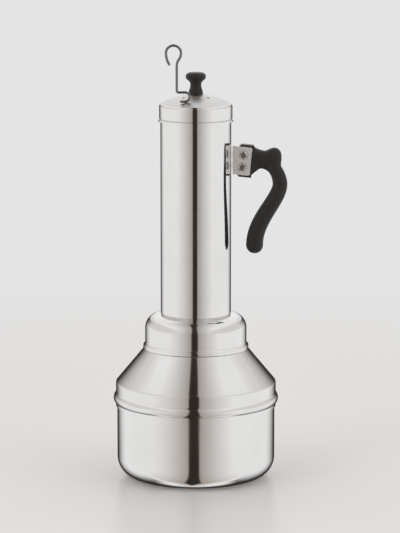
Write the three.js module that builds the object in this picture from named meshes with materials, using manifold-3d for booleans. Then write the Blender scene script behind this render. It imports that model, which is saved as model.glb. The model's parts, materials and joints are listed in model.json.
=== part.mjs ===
// Puttu maker: a stovetop steamer. A water pot carries a conical cover, the cover's neck carries
// a tall steaming tube with a side handle, and the tube carries a domed lid with a knob.
// A perforated disc lies in the tube's foot, and a wire stick stands on the lid.
// Millimetres, +Z up, origin at the middle of the pot's base, handle towards +X.

import * as THREE from 'three';
import { mergeVertices } from 'three/addons/utils/BufferGeometryUtils.js';
import Module from 'manifold-3d';

// Sheet metal, fits and fineness
const SHEET = 0.8;              // thickness of the pressed and spun steel
const GAP = 0.3;                // gap between pieces that touch
const SLIP = 0.4;               // radial play where one piece slips over another
const SIDES = 40;               // facets round the large turned pieces
const SMALL_SIDES = 20;         // facets round the small turned pieces

// Water pot
const POT_R = 78.8;             // outside of the pot's wall
const POT_WALL_H = 72;          // height of the wall that shows under the cover
const POT_CORNER_R = 20;        // rounding from the base to the wall
const RIM_ROLL_R = 1.6;         // rolled rim, hidden in the cover

// Conical pot cover
const SKIRT_H = 24.3;           // from the cover's lower edge to the crease
const SKIRT_BEAD = 2.4;         // how far the bead stands out of the skirt
const SKIRT_BEAD_H = 10;        // height of the bead
const SKIRT_EDGE_H = 3;         // straight edge of the skirt under the bead
const CONE_H = 34.5;            // from the crease to the collar's lower edge
const NECK_H = 13;              // straight neck inside the collar

// Collar at the tube's foot
const COLLAR_R = 50.6;          // outside of the collar's wall
const COLLAR_H = 33.9;          // from its lower edge to its top
const COLLAR_BEAD = 1.9;        // how far its bead stands out
const COLLAR_BEAD_H = 3;        // height of the bead
const COLLAR_ROUND_R = 14;      // rounding of its top edge, where the step to the tube has room for it

// Steaming tube and its disc
const TUBE_R = 35;              // outside of the tube
const TUBE_SHOW_H = 193;        // length that shows between collar and lid
const TUBE_FOOT_H = 14.5;       // length inside the collar
const TUBE_LIP = 4.5;           // inner lip that carries the disc
const DISC_T = 1.0;             // thickness of the disc
const DISC_PLAY = 0.5;          // radial play of the disc in the tube
const STEAM_HOLE_R = 1.6;       // holes of the disc
const STEAM_HOLE_PITCH = 8.4;   // spacing of the rings of holes
const STEAM_RINGS = 3;          // rings round the middle hole

// Lid
const LID_SKIRT_H = 17.3;       // from the lid's lower edge to its top edge
const LID_BEAD = 0.9;           // how far its bead stands out
const LID_BEAD_H = 1.6;         // height of the bead
const LID_EDGE_R = 3;           // rounding of the top edge
const DOME_H = 9;               // rise of the dome over the top edge
const VENT_R = 1.7;             // steam vents in the dome
const VENT_CIRCLE_R = 17;       // circle that the vents lie on
const VENTS = 4;
const DOME_STEPS = 4;           // rings of the dome
const ARC_STEPS = 5;            // facets of the large roundings
const BEAD_STEPS = 4;           // facets of the beads and rolls

// Knob and what holds it
const KNOB_H = 22.5;            // height of the knob
const KNOB_FOOT_R = 7.1;        // radius of its foot
const KNOB_WAIST_R = 5.4;       // radius of its waist
const KNOB_BRIM_R = 10;         // largest radius, near the top
const KNOB_WAIST_Z = 10;        // height of the waist over the foot
const KNOB_BRIM_Z = 17.6;       // height of the brim over the foot
const KNOB_TOP_R = 6;           // where the rounded top turns flat
const KNOB_FOOT_H = 1.2;        // height of its foot's edge
const KNOB_FOOT_EDGE = 0.5;     // chamfer under its foot
const KNOB_CROWN = 0.6;         // crown of its flat top
const KNOB_SEAT = 1.1;          // flat of the dome beyond the knob's foot
const INSERT_R = 3.5;           // threaded bush in the knob
const INSERT_L = 12;
const SCREW_R = 2;              // shank of all screws
const SCREW_HEAD_R = 4;         // head of all screws
const SCREW_HEAD_H = 2.2;
const SCREW_HEAD_EDGE = 1.1;    // chamfer of a screw's head
const SCREW_SLOT = 1;           // width of the slot in a screw's head
const WASHER_R = 6;
const WASHER_T = 1;

// Handle bracket
const BRACKET_H = 28;           // height of the bracket
const BRACKET_DROP = 39.2;      // its middle below the lid's lower edge
const BRACKET_REACH = 19.6;     // how far its cheeks stand out of the tube
const BRACKET_T = 1.3;          // thickness of its steel
const CHEEK_ROUND_R = 2;        // rounding of the cheeks' outer corners
const HANDLE_TILT = 5.5;        // degrees that the bracket and the handle's root slope down outwards
const SCREW_INSET = 8.1;        // screws inwards of the cheeks' ends
const SCREW_SPACING = 12;       // between the two screws
const NUT_FLAT_R = 3.5;         // half the nut across its flats
const NUT_H = 3.2;

// Handle
const TONGUE_T = 10;            // tongue between the cheeks
const TONGUE_SHOW = 2;          // tongue above and below the cheeks
const TONGUE_SLOPE = 6;         // slope cut off the tongue's inner corners
const GRIP_DEPTH = 16;          // handle across, along Y
const GRIP_T = 14.6;            // thickness of the grip at its bend, seen from the side
const WAIST_T = 13.4;           // thickness of the grip between its thumb bump and its bend
const TIP_T = 17;               // thickness of the grip above its rounded tip
const GRIP_SQUARENESS = 2.6;    // section of the grip: 2 is an ellipse, more is squarer
const TONGUE_SINK = 2.5;        // tongue inside the grip's root
const NECK_T = 18;              // thickness of the handle's neck
const NECK_RISE = 7;            // how far the middle line is pulled up behind the root
const NECK_REACH = 12;          // from the cheeks to the neck's slimmest place
const HANDLE_REACH = 36.1;      // outermost point beyond the cheeks
const BEND_DROP = 23.5;         // outermost point below the bracket's middle
const TIP_REACH = 3.8;          // middle of the tip beyond the cheeks
const TIP_DROP = 93;            // lowest point below the bracket's middle
const THUMB_W = 15.2;           // thumb bump on the bend, along X
const THUMB_H = 20.6;           // its height
const THUMB_REACH = 22.7;       // bump's middle beyond the cheeks
const THUMB_RISE = 2.6;         // bump's middle above the bracket's middle
const THUMB_DEPTH = 15.4;       // bump across, along Y
const GRIP_PULLS = [0.55, 0.5, 0.26, 0.43];  // how far the middle line's curves run straight at their ends
const NECK_SPAN = [0.2, 0.62];  // stretch of the bend where the neck slims to the waist
const TIP_TURNS = [0.3, 0.6, 0.85, 0.97];    // rings of the rounded tip, as shares of a quarter turn
const GRIP_SIDES = 16;          // facets round the grip
const GRIP_STEPS = 10;          // rings along each half of the grip

// Wire stick on the lid
const WIRE_R = 1.25;            // radius of the wire
const STICK_X = -18.5;          // shaft of the stick
const STICK_INSET = 9;          // plane that the stick stands in, inwards of the tube's front
const HOOK_H = 9;               // between the two runs of the hooked foot
const HOOK_TIP = 3.7;           // end of the lower run, from the shaft
const HOOK_RUN = 8.1;           // start of the hook's turn, from the shaft
const STICK_BEND_R = 2;         // bend between shaft and foot
const STICK_SHAFT_H = 34.6;     // height where the eye begins
const EYE_R = 7.3;              // radius of the eye
const EYE_X = -3.2;             // eye's middle, from the shaft
const EYE_Z = 47.5;             // eye's middle, over the foot
const EYE_END_X = -7.1;         // open end of the eye, from the shaft
const EYE_END_Z = 36;           // open end of the eye, over the foot
const EYE_PULL = 6.6;           // how far the eye's sides run straight
const WIRE_STEPS = 60;

// Heights that follow from the sizes above
const SEAM_Z = POT_WALL_H;
const CREASE_Z = SEAM_Z + SKIRT_H;
const COLLAR_Z = CREASE_Z + CONE_H;
const COLLAR_TOP_Z = COLLAR_Z + COLLAR_H;
const TUBE_FOOT_Z = COLLAR_TOP_Z - TUBE_FOOT_H;
const LID_Z = COLLAR_TOP_Z + TUBE_SHOW_H;
const LID_EDGE_Z = LID_Z + LID_SKIRT_H;
const TUBE_TOP_Z = LID_EDGE_Z - LID_EDGE_R;
const APEX_Z = LID_EDGE_Z + DOME_H;
const BRACKET_Z = LID_Z - BRACKET_DROP;

// Radii and reaches that follow
const CREASE_R = POT_R + SLIP + SHEET;
const COLLAR_BEAD_R = COLLAR_R + COLLAR_BEAD;
const CONE_TOP_R = COLLAR_BEAD_R - SHEET - SLIP;
const NECK_R = COLLAR_R - SHEET - SLIP;
const TUBE_BORE_R = TUBE_R - SHEET;
const LID_R = TUBE_R + SLIP + SHEET;
const SCREW_HOLE_R = SCREW_R + GAP;
const KNOB_SEAT_R = KNOB_FOOT_R + KNOB_SEAT;
const CHEEK_X = TUBE_R + BRACKET_REACH;
const CHEEK_IN_Y = TONGUE_T / 2 + GAP;
const CHEEK_OUT_Y = CHEEK_IN_Y + BRACKET_T;
const SCREW_X = CHEEK_X - SCREW_INSET;
const STICK_Y = STICK_INSET - TUBE_R;
const SCREW_ZS = [BRACKET_Z + SCREW_SPACING / 2, BRACKET_Z - SCREW_SPACING / 2];

// The dome is part of a ball that starts where the lid's rounded edge ends.
const EDGE_TURN = Math.PI / 3;
const DOME_R = LID_R - LID_EDGE_R + LID_EDGE_R * Math.cos(EDGE_TURN);
const DOME_Z = LID_EDGE_Z - LID_EDGE_R + LID_EDGE_R * Math.sin(EDGE_TURN);
const BALL_R = (DOME_R ** 2 + (APEX_Z - DOME_Z) ** 2) / (2 * (APEX_Z - DOME_Z));
const domeZ = (r) => APEX_Z - BALL_R + Math.sqrt(BALL_R ** 2 - r ** 2);
const SEAT_Z = domeZ(KNOB_SEAT_R);
const KNOB_Z = SEAT_Z + GAP;

const wasm = await Module();
wasm.setup();

const steel = new THREE.MeshStandardMaterial({ color: 0xd8d8da, roughness: 0.12, metalness: 1 });
const phenolic = new THREE.MeshStandardMaterial({ color: 0x262523, roughness: 0.35, metalness: 0 });
const brass = new THREE.MeshStandardMaterial({ color: 0xb89a55, roughness: 0.35, metalness: 1 });

// Points on an arc in a profile, from one angle to another, both ends included.
function arc(r, z, radius, from, to, steps) {
  const points = [];
  for (let i = 0; i <= steps; i++) {
    const angle = from + (to - from) * i / steps;
    points.push([r + radius * Math.cos(angle), z + radius * Math.sin(angle)]);
  }
  return points;
}

// Profile of a sheet: its outer side, bottom to top, and its inner side one thickness inwards.
function sheet(outer, thickness = SHEET) {
  const normals = outer.slice(1).map(([r, z], i) => {
    return new THREE.Vector2(outer[i][1] - z, r - outer[i][0]).normalize();
  });
  const inner = outer.map(([r, z], i) => {
    const before = normals[Math.max(i - 1, 0)];
    const after = normals[Math.min(i, normals.length - 1)];
    const inwards = before.clone().add(after).normalize();
    const depth = thickness / inwards.dot(after);
    return [r + inwards.x * depth, z + inwards.y * depth];
  });
  return [...outer, ...inner.reverse()];
}

// A turned piece from a profile of [radius, height] whose outer side runs upwards.
function turned(profile, sides = SIDES) {
  const points = profile.map(([r, z]) => new THREE.Vector2(r, z));
  const onAxis = profile[0][0] === 0;
  if (!onAxis) points.push(points[0].clone());
  return new THREE.LatheGeometry(points, sides).rotateX(Math.PI / 2);
}

// A plate whose shape is drawn in X and Z, centred on Y = 0.
function plateXZ(shape, depth) {
  const plate = new THREE.ExtrudeGeometry(shape, { depth, bevelEnabled: false, curveSegments: 6 });
  return plate.translate(0, 0, -depth / 2).rotateX(Math.PI / 2);
}

// A round bar along Y, for screw holes.
function barY(radius, length, x, z) {
  return new THREE.CylinderGeometry(radius, radius, length, SMALL_SIDES).translate(x, 0, z);
}

// A geometry as a solid for joining and cutting.
function solid(geometry) {
  const bare = geometry.clone();
  bare.deleteAttribute('normal');
  bare.deleteAttribute('uv');
  const merged = mergeVertices(bare, 1e-4);
  const corners = [];
  const index = merged.index.array;
  for (let i = 0; i < index.length; i += 3) {
    const [a, b, c] = [index[i], index[i + 1], index[i + 2]];
    if (a !== b && b !== c && c !== a) corners.push(a, b, c);
  }
  const vertProperties = new Float32Array(merged.attributes.position.array);
  return new wasm.Manifold(new wasm.Mesh({ numProp: 3, vertProperties, triVerts: new Uint32Array(corners) }));
}

// A solid back as a geometry.
function geometryOf(body) {
  const mesh = body.getMesh();
  const geometry = new THREE.BufferGeometry();
  geometry.setAttribute('position', new THREE.BufferAttribute(new Float32Array(mesh.vertProperties), 3));
  geometry.setIndex(new THREE.BufferAttribute(new Uint32Array(mesh.triVerts), 1));
  geometry.computeVertexNormals();
  return geometry;
}

// One geometry with others cut out of it.
function cut(geometry, ...tools) {
  return geometryOf(tools.reduce((body, tool) => body.subtract(solid(tool)), solid(geometry)));
}

// Rectangle with rounded corners, drawn between two corners.
function roundedRectangle(x0, y0, x1, y1, r) {
  const shape = new THREE.Shape();
  shape.moveTo(x0 + r, y0);
  shape.lineTo(x1 - r, y0);
  shape.absarc(x1 - r, y0 + r, r, -Math.PI / 2, 0, false);
  shape.lineTo(x1, y1 - r);
  shape.absarc(x1 - r, y1 - r, r, 0, Math.PI / 2, false);
  shape.lineTo(x0 + r, y1);
  shape.absarc(x0 + r, y1 - r, r, Math.PI / 2, Math.PI, false);
  shape.lineTo(x0, y0 + r);
  shape.absarc(x0 + r, y0 + r, r, Math.PI, 1.5 * Math.PI, false);
  return shape;
}

// Pot: flat base, rounded corner, straight wall and a rim rolled inwards just under the crease.
function makePot() {
  const rimZ = CREASE_Z - SHEET - RIM_ROLL_R;
  return turned(sheet([
    [0, 0],
    ...arc(POT_R - POT_CORNER_R, POT_CORNER_R, POT_CORNER_R, -Math.PI / 2, 0, ARC_STEPS),
    ...arc(POT_R - RIM_ROLL_R, rimZ, RIM_ROLL_R, 0, Math.PI, BEAD_STEPS),
  ]));
}

// Cover: beaded skirt over the pot's rim, cone, and a straight neck inside the collar.
function makePotCover() {
  const beadR = ((SKIRT_BEAD_H / 2) ** 2 + SKIRT_BEAD ** 2) / (2 * SKIRT_BEAD);
  const beadTurn = Math.asin(SKIRT_BEAD_H / 2 / beadR);
  const beadMiddle = CREASE_R + SKIRT_BEAD - beadR;
  const slope = (COLLAR_Z - CREASE_Z) / (CREASE_R - CONE_TOP_R);
  const neckZ = COLLAR_Z + slope * (CONE_TOP_R - NECK_R);
  return turned(sheet([
    [CREASE_R, SEAM_Z],
    ...arc(beadMiddle, SEAM_Z + SKIRT_EDGE_H + SKIRT_BEAD_H / 2, beadR, -beadTurn, beadTurn, BEAD_STEPS),
    [CREASE_R, CREASE_Z],
    [NECK_R, neckZ],
    [NECK_R, neckZ + NECK_H],
  ]));
}

// Collar: beaded lower edge, straight wall, and a rounded top that closes in on the tube.
function makeTubeCollar() {
  const closeR = TUBE_R + GAP;
  const edgeR = Math.min(COLLAR_ROUND_R, COLLAR_R - closeR - SHEET);
  return turned(sheet([
    [COLLAR_BEAD_R, COLLAR_Z],
    [COLLAR_BEAD_R, COLLAR_Z + COLLAR_BEAD_H],
    [COLLAR_R, COLLAR_Z + COLLAR_BEAD_H + COLLAR_BEAD],
    ...arc(COLLAR_R - edgeR, COLLAR_TOP_Z - edgeR, edgeR, 0, Math.PI / 2, ARC_STEPS),
    [closeR, COLLAR_TOP_Z],
  ]));
}

// Tube: straight, with a lip turned inwards at its foot.
function makeSteamTube() {
  const lipR = TUBE_BORE_R - TUBE_LIP;
  return turned([
    [lipR, TUBE_FOOT_Z],
    [TUBE_R, TUBE_FOOT_Z],
    [TUBE_R, TUBE_TOP_Z],
    [TUBE_BORE_R, TUBE_TOP_Z],
    [TUBE_BORE_R, TUBE_FOOT_Z + SHEET],
    [lipR, TUBE_FOOT_Z + SHEET],
  ]);
}

// Disc: lies on the tube's lip, with a middle hole and rings of holes.
function makeSteamDisc() {
  const discR = TUBE_BORE_R - DISC_PLAY;
  const shape = new THREE.Shape(new THREE.EllipseCurve(0, 0, discR, discR).getPoints(SIDES).slice(1));
  for (let circle = 0; circle <= STEAM_RINGS; circle++) {
    const count = Math.max(6 * circle, 1);
    for (let i = 0; i < count; i++) {
      const angle = 2 * Math.PI * i / count;
      const x = circle * STEAM_HOLE_PITCH * Math.cos(angle);
      const y = circle * STEAM_HOLE_PITCH * Math.sin(angle);
      shape.holes.push(new THREE.Path().absarc(x, y, STEAM_HOLE_R, 0, 2 * Math.PI, true));
    }
  }
  const settings = { depth: DISC_T, bevelEnabled: false, curveSegments: 4 };
  return new THREE.ExtrudeGeometry(shape, settings).translate(0, 0, TUBE_FOOT_Z + SHEET + GAP);
}

// Lid: beaded skirt over the tube, rounded edge, dome with a flat seat for the knob, and vents.
function makeLid() {
  const edgeR = LID_R - LID_EDGE_R;
  const dome = [];
  for (let i = 1; i <= DOME_STEPS; i++) {
    const r = DOME_R + (KNOB_SEAT_R - DOME_R) * i / DOME_STEPS;
    dome.push([r, domeZ(r)]);
  }
  const shell = turned(sheet([
    [LID_R + LID_BEAD, LID_Z],
    [LID_R + LID_BEAD, LID_Z + LID_BEAD_H],
    [LID_R, LID_Z + LID_BEAD_H + LID_BEAD],
    ...arc(edgeR, TUBE_TOP_Z, LID_EDGE_R, 0, EDGE_TURN, 2),
    ...dome,
    [SCREW_HOLE_R, SEAT_Z],
  ]));
  const vents = [];
  for (let i = 0; i < VENTS; i++) {
    const angle = 2 * Math.PI * (i + 0.5) / VENTS;
    const drill = new THREE.CylinderGeometry(VENT_R, VENT_R, 4 * DOME_H, 10).rotateX(Math.PI / 2);
    vents.push(drill.translate(VENT_CIRCLE_R * Math.cos(angle), VENT_CIRCLE_R * Math.sin(angle), APEX_Z));
  }
  return cut(shell, ...vents);
}

// Knob: foot, waist, brim and rounded top, bored from below for the threaded bush.
function makeLidKnob() {
  const boreR = INSERT_R + GAP;
  const side = new THREE.SplineCurve([
    new THREE.Vector2(KNOB_FOOT_R, KNOB_FOOT_H),
    new THREE.Vector2(KNOB_WAIST_R, KNOB_WAIST_Z),
    new THREE.Vector2(KNOB_BRIM_R, KNOB_BRIM_Z),
    new THREE.Vector2(KNOB_TOP_R, KNOB_H - KNOB_CROWN),
  ]).getPoints(12);
  return turned([
    [0, KNOB_Z + INSERT_L + GAP],
    [boreR, KNOB_Z + INSERT_L + GAP],
    [boreR, KNOB_Z],
    [KNOB_FOOT_R - KNOB_FOOT_EDGE, KNOB_Z],
    ...side.map((point) => [point.x, KNOB_Z + point.y]),
    [0, KNOB_Z + KNOB_H],
  ], SMALL_SIDES + 4);
}

// Bush: threaded sleeve in the knob.
function makeKnobInsert() {
  return ring(INSERT_R, SCREW_HOLE_R, KNOB_Z, INSERT_L);
}

// Washer: between the lid and the head of the knob's screw.
function makeKnobWasher() {
  return ring(WASHER_R, SCREW_HOLE_R, SEAT_Z - SHEET - GAP - WASHER_T, WASHER_T);
}

// A ring about the Z axis.
function ring(outerR, innerR, z, height) {
  return turned([[innerR, z], [outerR, z], [outerR, z + height], [innerR, z + height]], SMALL_SIDES);
}

// A screw standing on its head: slotted head downwards, shank upwards from Z = 0.
function screw(shankL) {
  const body = turned([
    [0, -SCREW_HEAD_H],
    [SCREW_HEAD_R - SCREW_HEAD_EDGE, -SCREW_HEAD_H],
    [SCREW_HEAD_R, SCREW_HEAD_EDGE - SCREW_HEAD_H],
    [SCREW_HEAD_R, 0],
    [SCREW_R, 0],
    [SCREW_R, shankL],
    [0, shankL],
  ], SMALL_SIDES);
  const slot = new THREE.BoxGeometry(4 * SCREW_HEAD_R, SCREW_SLOT, SCREW_HEAD_H);
  return cut(body, slot.translate(0, 0, -SCREW_HEAD_H));
}

// Screw of the knob: its head lies under the washer.
function makeKnobScrew() {
  const headZ = SEAT_Z - SHEET - WASHER_T - 2 * GAP;
  return screw(KNOB_Z + INSERT_L - headZ).translate(0, 0, headZ);
}

// A piece turned with the handle's slope, about the middle between the two screws.
function tilted(geometry) {
  const turn = THREE.MathUtils.degToRad(HANDLE_TILT);
  return geometry.translate(-SCREW_X, 0, -BRACKET_Z).rotateY(turn).translate(SCREW_X, 0, BRACKET_Z);
}

// Bores for the two screws.
function screwBores(length) {
  return SCREW_ZS.map((z) => tilted(barY(SCREW_HOLE_R, length, SCREW_X, z)));
}

// Screw of the handle: its head lies on the near cheek, towards -Y.
function makeHandleScrew(z) {
  const headY = CHEEK_OUT_Y + GAP;
  const shankL = 2 * headY + NUT_H + GAP;
  return tilted(screw(shankL).rotateX(-Math.PI / 2).translate(SCREW_X, -headY, z));
}

// Nut of the handle: on the far cheek.
function makeHandleNut(z) {
  const shape = new THREE.Shape();
  const cornerR = NUT_FLAT_R / Math.cos(Math.PI / 6);
  for (let i = 0; i < 6; i++) {
    const angle = Math.PI * i / 3;
    const corner = [cornerR * Math.cos(angle), cornerR * Math.sin(angle)];
    if (i === 0) shape.moveTo(...corner);
    else shape.lineTo(...corner);
  }
  shape.holes.push(new THREE.Path().absarc(0, 0, SCREW_HOLE_R, 0, 2 * Math.PI, true));
  return tilted(plateXZ(shape, NUT_H).translate(SCREW_X, CHEEK_OUT_Y + GAP + NUT_H / 2, z));
}

// Bracket: a channel whose web hugs the tube and whose cheeks clasp the handle's tongue.
function makeHandleBracket() {
  const backR = TUBE_R + GAP;
  const backTurn = Math.asin(CHEEK_OUT_Y / backR);
  const webX = backR + BRACKET_T;
  const section = new THREE.Shape();
  section.absarc(0, 0, backR, backTurn, -backTurn, true);
  section.lineTo(CHEEK_X + BRACKET_REACH, -CHEEK_OUT_Y);
  section.lineTo(CHEEK_X + BRACKET_REACH, -CHEEK_IN_Y);
  section.lineTo(webX, -CHEEK_IN_Y);
  section.lineTo(webX, CHEEK_IN_Y);
  section.lineTo(CHEEK_X + BRACKET_REACH, CHEEK_IN_Y);
  section.lineTo(CHEEK_X + BRACKET_REACH, CHEEK_OUT_Y);
  const settings = { depth: 2 * BRACKET_H, bevelEnabled: false, curveSegments: 6 };
  const channel = new THREE.ExtrudeGeometry(section, settings).translate(0, 0, BRACKET_Z - BRACKET_H);
  const [lowZ, highZ] = [BRACKET_Z - BRACKET_H / 2, BRACKET_Z + BRACKET_H / 2];
  const outline = roundedRectangle(TUBE_R - BRACKET_REACH, lowZ, CHEEK_X, highZ, CHEEK_ROUND_R);
  const trimmed = solid(channel).intersect(solid(tilted(plateXZ(outline, 4 * CHEEK_OUT_Y))));
  return cut(geometryOf(trimmed), ...screwBores(4 * CHEEK_OUT_Y));
}

// Rings of points joined into one closed body, with flat ends. Each ring turns the same way.
function lofted(rings) {
  const sides = rings[0].length;
  const middles = [rings[0], rings.at(-1)].map((ring) => {
    return ring.reduce((sum, point) => sum.add(point), new THREE.Vector3()).divideScalar(sides);
  });
  const corners = [];
  for (let i = 0; i + 1 < rings.length; i++) {
    for (let j = 0; j < sides; j++) {
      const [a, b] = [i * sides + j, i * sides + (j + 1) % sides];
      corners.push(a, b, a + sides, b, b + sides, a + sides);
    }
  }
  const last = (rings.length - 1) * sides;
  const first = rings.length * sides;
  for (let j = 0; j < sides; j++) {
    corners.push(first, (j + 1) % sides, j);
    corners.push(first + 1, last + j, last + (j + 1) % sides);
  }
  const geometry = new THREE.BufferGeometry().setFromPoints([...rings.flat(), ...middles]);
  geometry.setIndex(corners);
  geometry.computeVertexNormals();
  return geometry;
}

// One oval ring of the grip: across its thickness, in the X-Z plane, and across Y.
function gripRing(middle, along, thickness, depth) {
  const points = [];
  for (let i = 0; i < GRIP_SIDES; i++) {
    const angle = 2 * Math.PI * i / GRIP_SIDES;
    const round = (value) => Math.sign(value) * Math.abs(value) ** (2 / GRIP_SQUARENESS);
    const across = round(Math.cos(angle)) * thickness / 2;
    const y = -round(Math.sin(angle)) * depth / 2;
    points.push(new THREE.Vector3(middle.x - along.y * across, y, middle.y + along.x * across));
  }
  return points;
}

// Grip: flared root on the cheeks, slim neck, a bend, a sweep down, and a rounded tip.
function makeGrip() {
  const tilt = THREE.MathUtils.degToRad(HANDLE_TILT);
  const rootWay = new THREE.Vector2(Math.cos(tilt), -Math.sin(tilt));
  const root = new THREE.Vector2(SCREW_X, BRACKET_Z).addScaledVector(rootWay, SCREW_INSET + GAP);
  const bendX = CHEEK_X + HANDLE_REACH - GRIP_T / 2;
  const bendZ = BRACKET_Z - BEND_DROP;
  const tipX = CHEEK_X + TIP_REACH;
  const tipZ = BRACKET_Z - TIP_DROP + TIP_T / 2;
  const [rootPull, neckPull, bendPull, tipPull] = GRIP_PULLS;
  const over = new THREE.CubicBezierCurve(
    root,
    new THREE.Vector2(root.x + rootPull * (bendX - root.x), BRACKET_Z + NECK_RISE),
    new THREE.Vector2(bendX, bendZ + neckPull * BEND_DROP),
    new THREE.Vector2(bendX, bendZ),
  );
  const down = new THREE.CubicBezierCurve(
    new THREE.Vector2(bendX, bendZ),
    new THREE.Vector2(bendX, bendZ - bendPull * (bendZ - tipZ)),
    new THREE.Vector2(tipX, tipZ + tipPull * (bendZ - tipZ)),
    new THREE.Vector2(tipX, tipZ),
  );
  const rootT = BRACKET_H + 2 * TONGUE_SHOW;
  const rings = [];
  for (let i = 0; i <= GRIP_STEPS; i++) {
    const t = i / GRIP_STEPS;
    const middle = over.getPoint(t);
    const flare = Math.max(1 - (middle.x - root.x) / NECK_REACH, 0) ** 2;
    const slim = THREE.MathUtils.smoothstep(t, ...NECK_SPAN);
    const full = THREE.MathUtils.smoothstep(t, NECK_SPAN[1], 1);
    const slimmed = NECK_T + (WAIST_T - NECK_T) * slim + (GRIP_T - WAIST_T) * full;
    const thickness = slimmed + (rootT - NECK_T) * flare;
    const turn = THREE.MathUtils.smoothstep(middle.x - root.x, 0, NECK_REACH);
    const along = rootWay.clone().lerp(over.getTangent(t), turn).normalize();
    rings.push(gripRing(middle, along, thickness, GRIP_DEPTH));
  }
  for (let i = 1; i <= GRIP_STEPS; i++) {
    const t = i / GRIP_STEPS;
    const thickness = THREE.MathUtils.lerp(GRIP_T, TIP_T, t);
    rings.push(gripRing(down.getPoint(t), down.getTangent(t), thickness, GRIP_DEPTH));
  }
  for (const turn of TIP_TURNS) {
    const angle = turn * Math.PI / 2;
    const middle = new THREE.Vector2(tipX, tipZ - Math.sin(angle) * TIP_T / 2);
    const share = Math.cos(angle);
    rings.push(gripRing(middle, new THREE.Vector2(0, -1), TIP_T * share, GRIP_DEPTH * share));
  }
  return lofted(rings);
}

// Thumb bump: a rounded block, as square as the grip's section.
function makeThumbBump() {
  const bump = new THREE.SphereGeometry(1, 20, 14);
  const places = bump.getAttribute('position');
  const squared = (value) => Math.sign(value) * Math.abs(value) ** (2 / GRIP_SQUARENESS);
  for (let i = 0; i < places.count; i++) {
    places.setXYZ(i, squared(places.getX(i)), squared(places.getY(i)), squared(places.getZ(i)));
  }
  return bump.scale(THUMB_W / 2, THUMB_DEPTH / 2, THUMB_H / 2);
}

// Handle: grip with a thumb bump, and a flat tongue between the bracket's cheeks.
function makeHandle() {
  const bump = makeThumbBump().translate(CHEEK_X + THUMB_REACH, 0, BRACKET_Z + THUMB_RISE);
  const halfH = BRACKET_H / 2 + TONGUE_SHOW;
  const lean = (halfH - TONGUE_SLOPE) * Math.sin(THREE.MathUtils.degToRad(HANDLE_TILT));
  const backX = TUBE_R + 2 * GAP + BRACKET_T + lean;
  const rootX = CHEEK_X + GAP + TONGUE_SINK;
  const tongue = plateXZ(new THREE.Shape([
    new THREE.Vector2(backX, BRACKET_Z - halfH + TONGUE_SLOPE),
    new THREE.Vector2(backX + TONGUE_SLOPE, BRACKET_Z - halfH),
    new THREE.Vector2(rootX, BRACKET_Z - halfH),
    new THREE.Vector2(rootX, BRACKET_Z + halfH),
    new THREE.Vector2(backX + TONGUE_SLOPE, BRACKET_Z + halfH),
    new THREE.Vector2(backX, BRACKET_Z + halfH - TONGUE_SLOPE),
  ]), TONGUE_T);
  const whole = solid(makeGrip()).add(solid(bump)).add(solid(tilted(tongue)));
  return cut(geometryOf(whole), ...screwBores(2 * TONGUE_T));
}

// Stick: one bent wire, from the tip of its hooked foot up the shaft and round the open eye.
function makeStick() {
  const wire = new THREE.Path();
  wire.moveTo(HOOK_TIP, 0);
  wire.lineTo(HOOK_RUN, 0);
  wire.absarc(HOOK_RUN, HOOK_H / 2, HOOK_H / 2, -Math.PI / 2, Math.PI / 2, false);
  wire.lineTo(STICK_BEND_R, HOOK_H);
  wire.absarc(STICK_BEND_R, HOOK_H + STICK_BEND_R, STICK_BEND_R, -Math.PI / 2, -Math.PI, true);
  wire.lineTo(0, STICK_SHAFT_H);
  wire.bezierCurveTo(0, STICK_SHAFT_H + EYE_PULL, EYE_X + EYE_R, EYE_Z - EYE_PULL, EYE_X + EYE_R, EYE_Z);
  wire.absarc(EYE_X, EYE_Z, EYE_R, 0, Math.PI, false);
  wire.quadraticCurveTo(EYE_X - EYE_R, EYE_Z - EYE_PULL, EYE_END_X, EYE_END_Z);
  const footR = Math.hypot(STICK_X + HOOK_RUN, STICK_Y);
  const footZ = domeZ(footR) + WIRE_R + GAP;
  const points = wire.getSpacedPoints(WIRE_STEPS).map(({ x, y }) => {
    return new THREE.Vector3(STICK_X + x, STICK_Y, footZ + y);
  });
  const section = new THREE.Shape();
  section.absarc(0, 0, WIRE_R, 0, 2 * Math.PI, false);
  const extrudePath = new THREE.CatmullRomCurve3(points);
  return new THREE.ExtrudeGeometry(section, { steps: WIRE_STEPS, extrudePath, curveSegments: 4 });
}

const pieces = [
  ['pot', makePot(), steel],
  ['pot_cover', makePotCover(), steel],
  ['tube_collar', makeTubeCollar(), steel],
  ['steam_tube', makeSteamTube(), steel],
  ['steam_disc', makeSteamDisc(), steel],
  ['lid', makeLid(), steel],
  ['lid_knob', makeLidKnob(), phenolic],
  ['knob_insert', makeKnobInsert(), brass],
  ['knob_washer', makeKnobWasher(), steel],
  ['knob_screw', makeKnobScrew(), steel],
  ['handle_bracket', makeHandleBracket(), steel],
  ['handle', makeHandle(), phenolic],
  ['handle_screw_upper', makeHandleScrew(SCREW_ZS[0]), steel],
  ['handle_screw_lower', makeHandleScrew(SCREW_ZS[1]), steel],
  ['handle_nut_upper', makeHandleNut(SCREW_ZS[0]), steel],
  ['handle_nut_lower', makeHandleNut(SCREW_ZS[1]), steel],
  ['stick', makeStick(), steel],
];

const puttuMaker = new THREE.Group();
for (const [name, geometry, material] of pieces) {
  const mesh = new THREE.Mesh(geometry, material);
  mesh.name = name;
  puttuMaker.add(mesh);
}

export default puttuMaker;
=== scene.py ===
"""Looks of a puttu maker: spun and polished steel, a moulded handle and knob, and a wire stick.

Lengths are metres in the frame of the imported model: +Z up, the handle towards +X, the viewer at -Y.
"""

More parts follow.
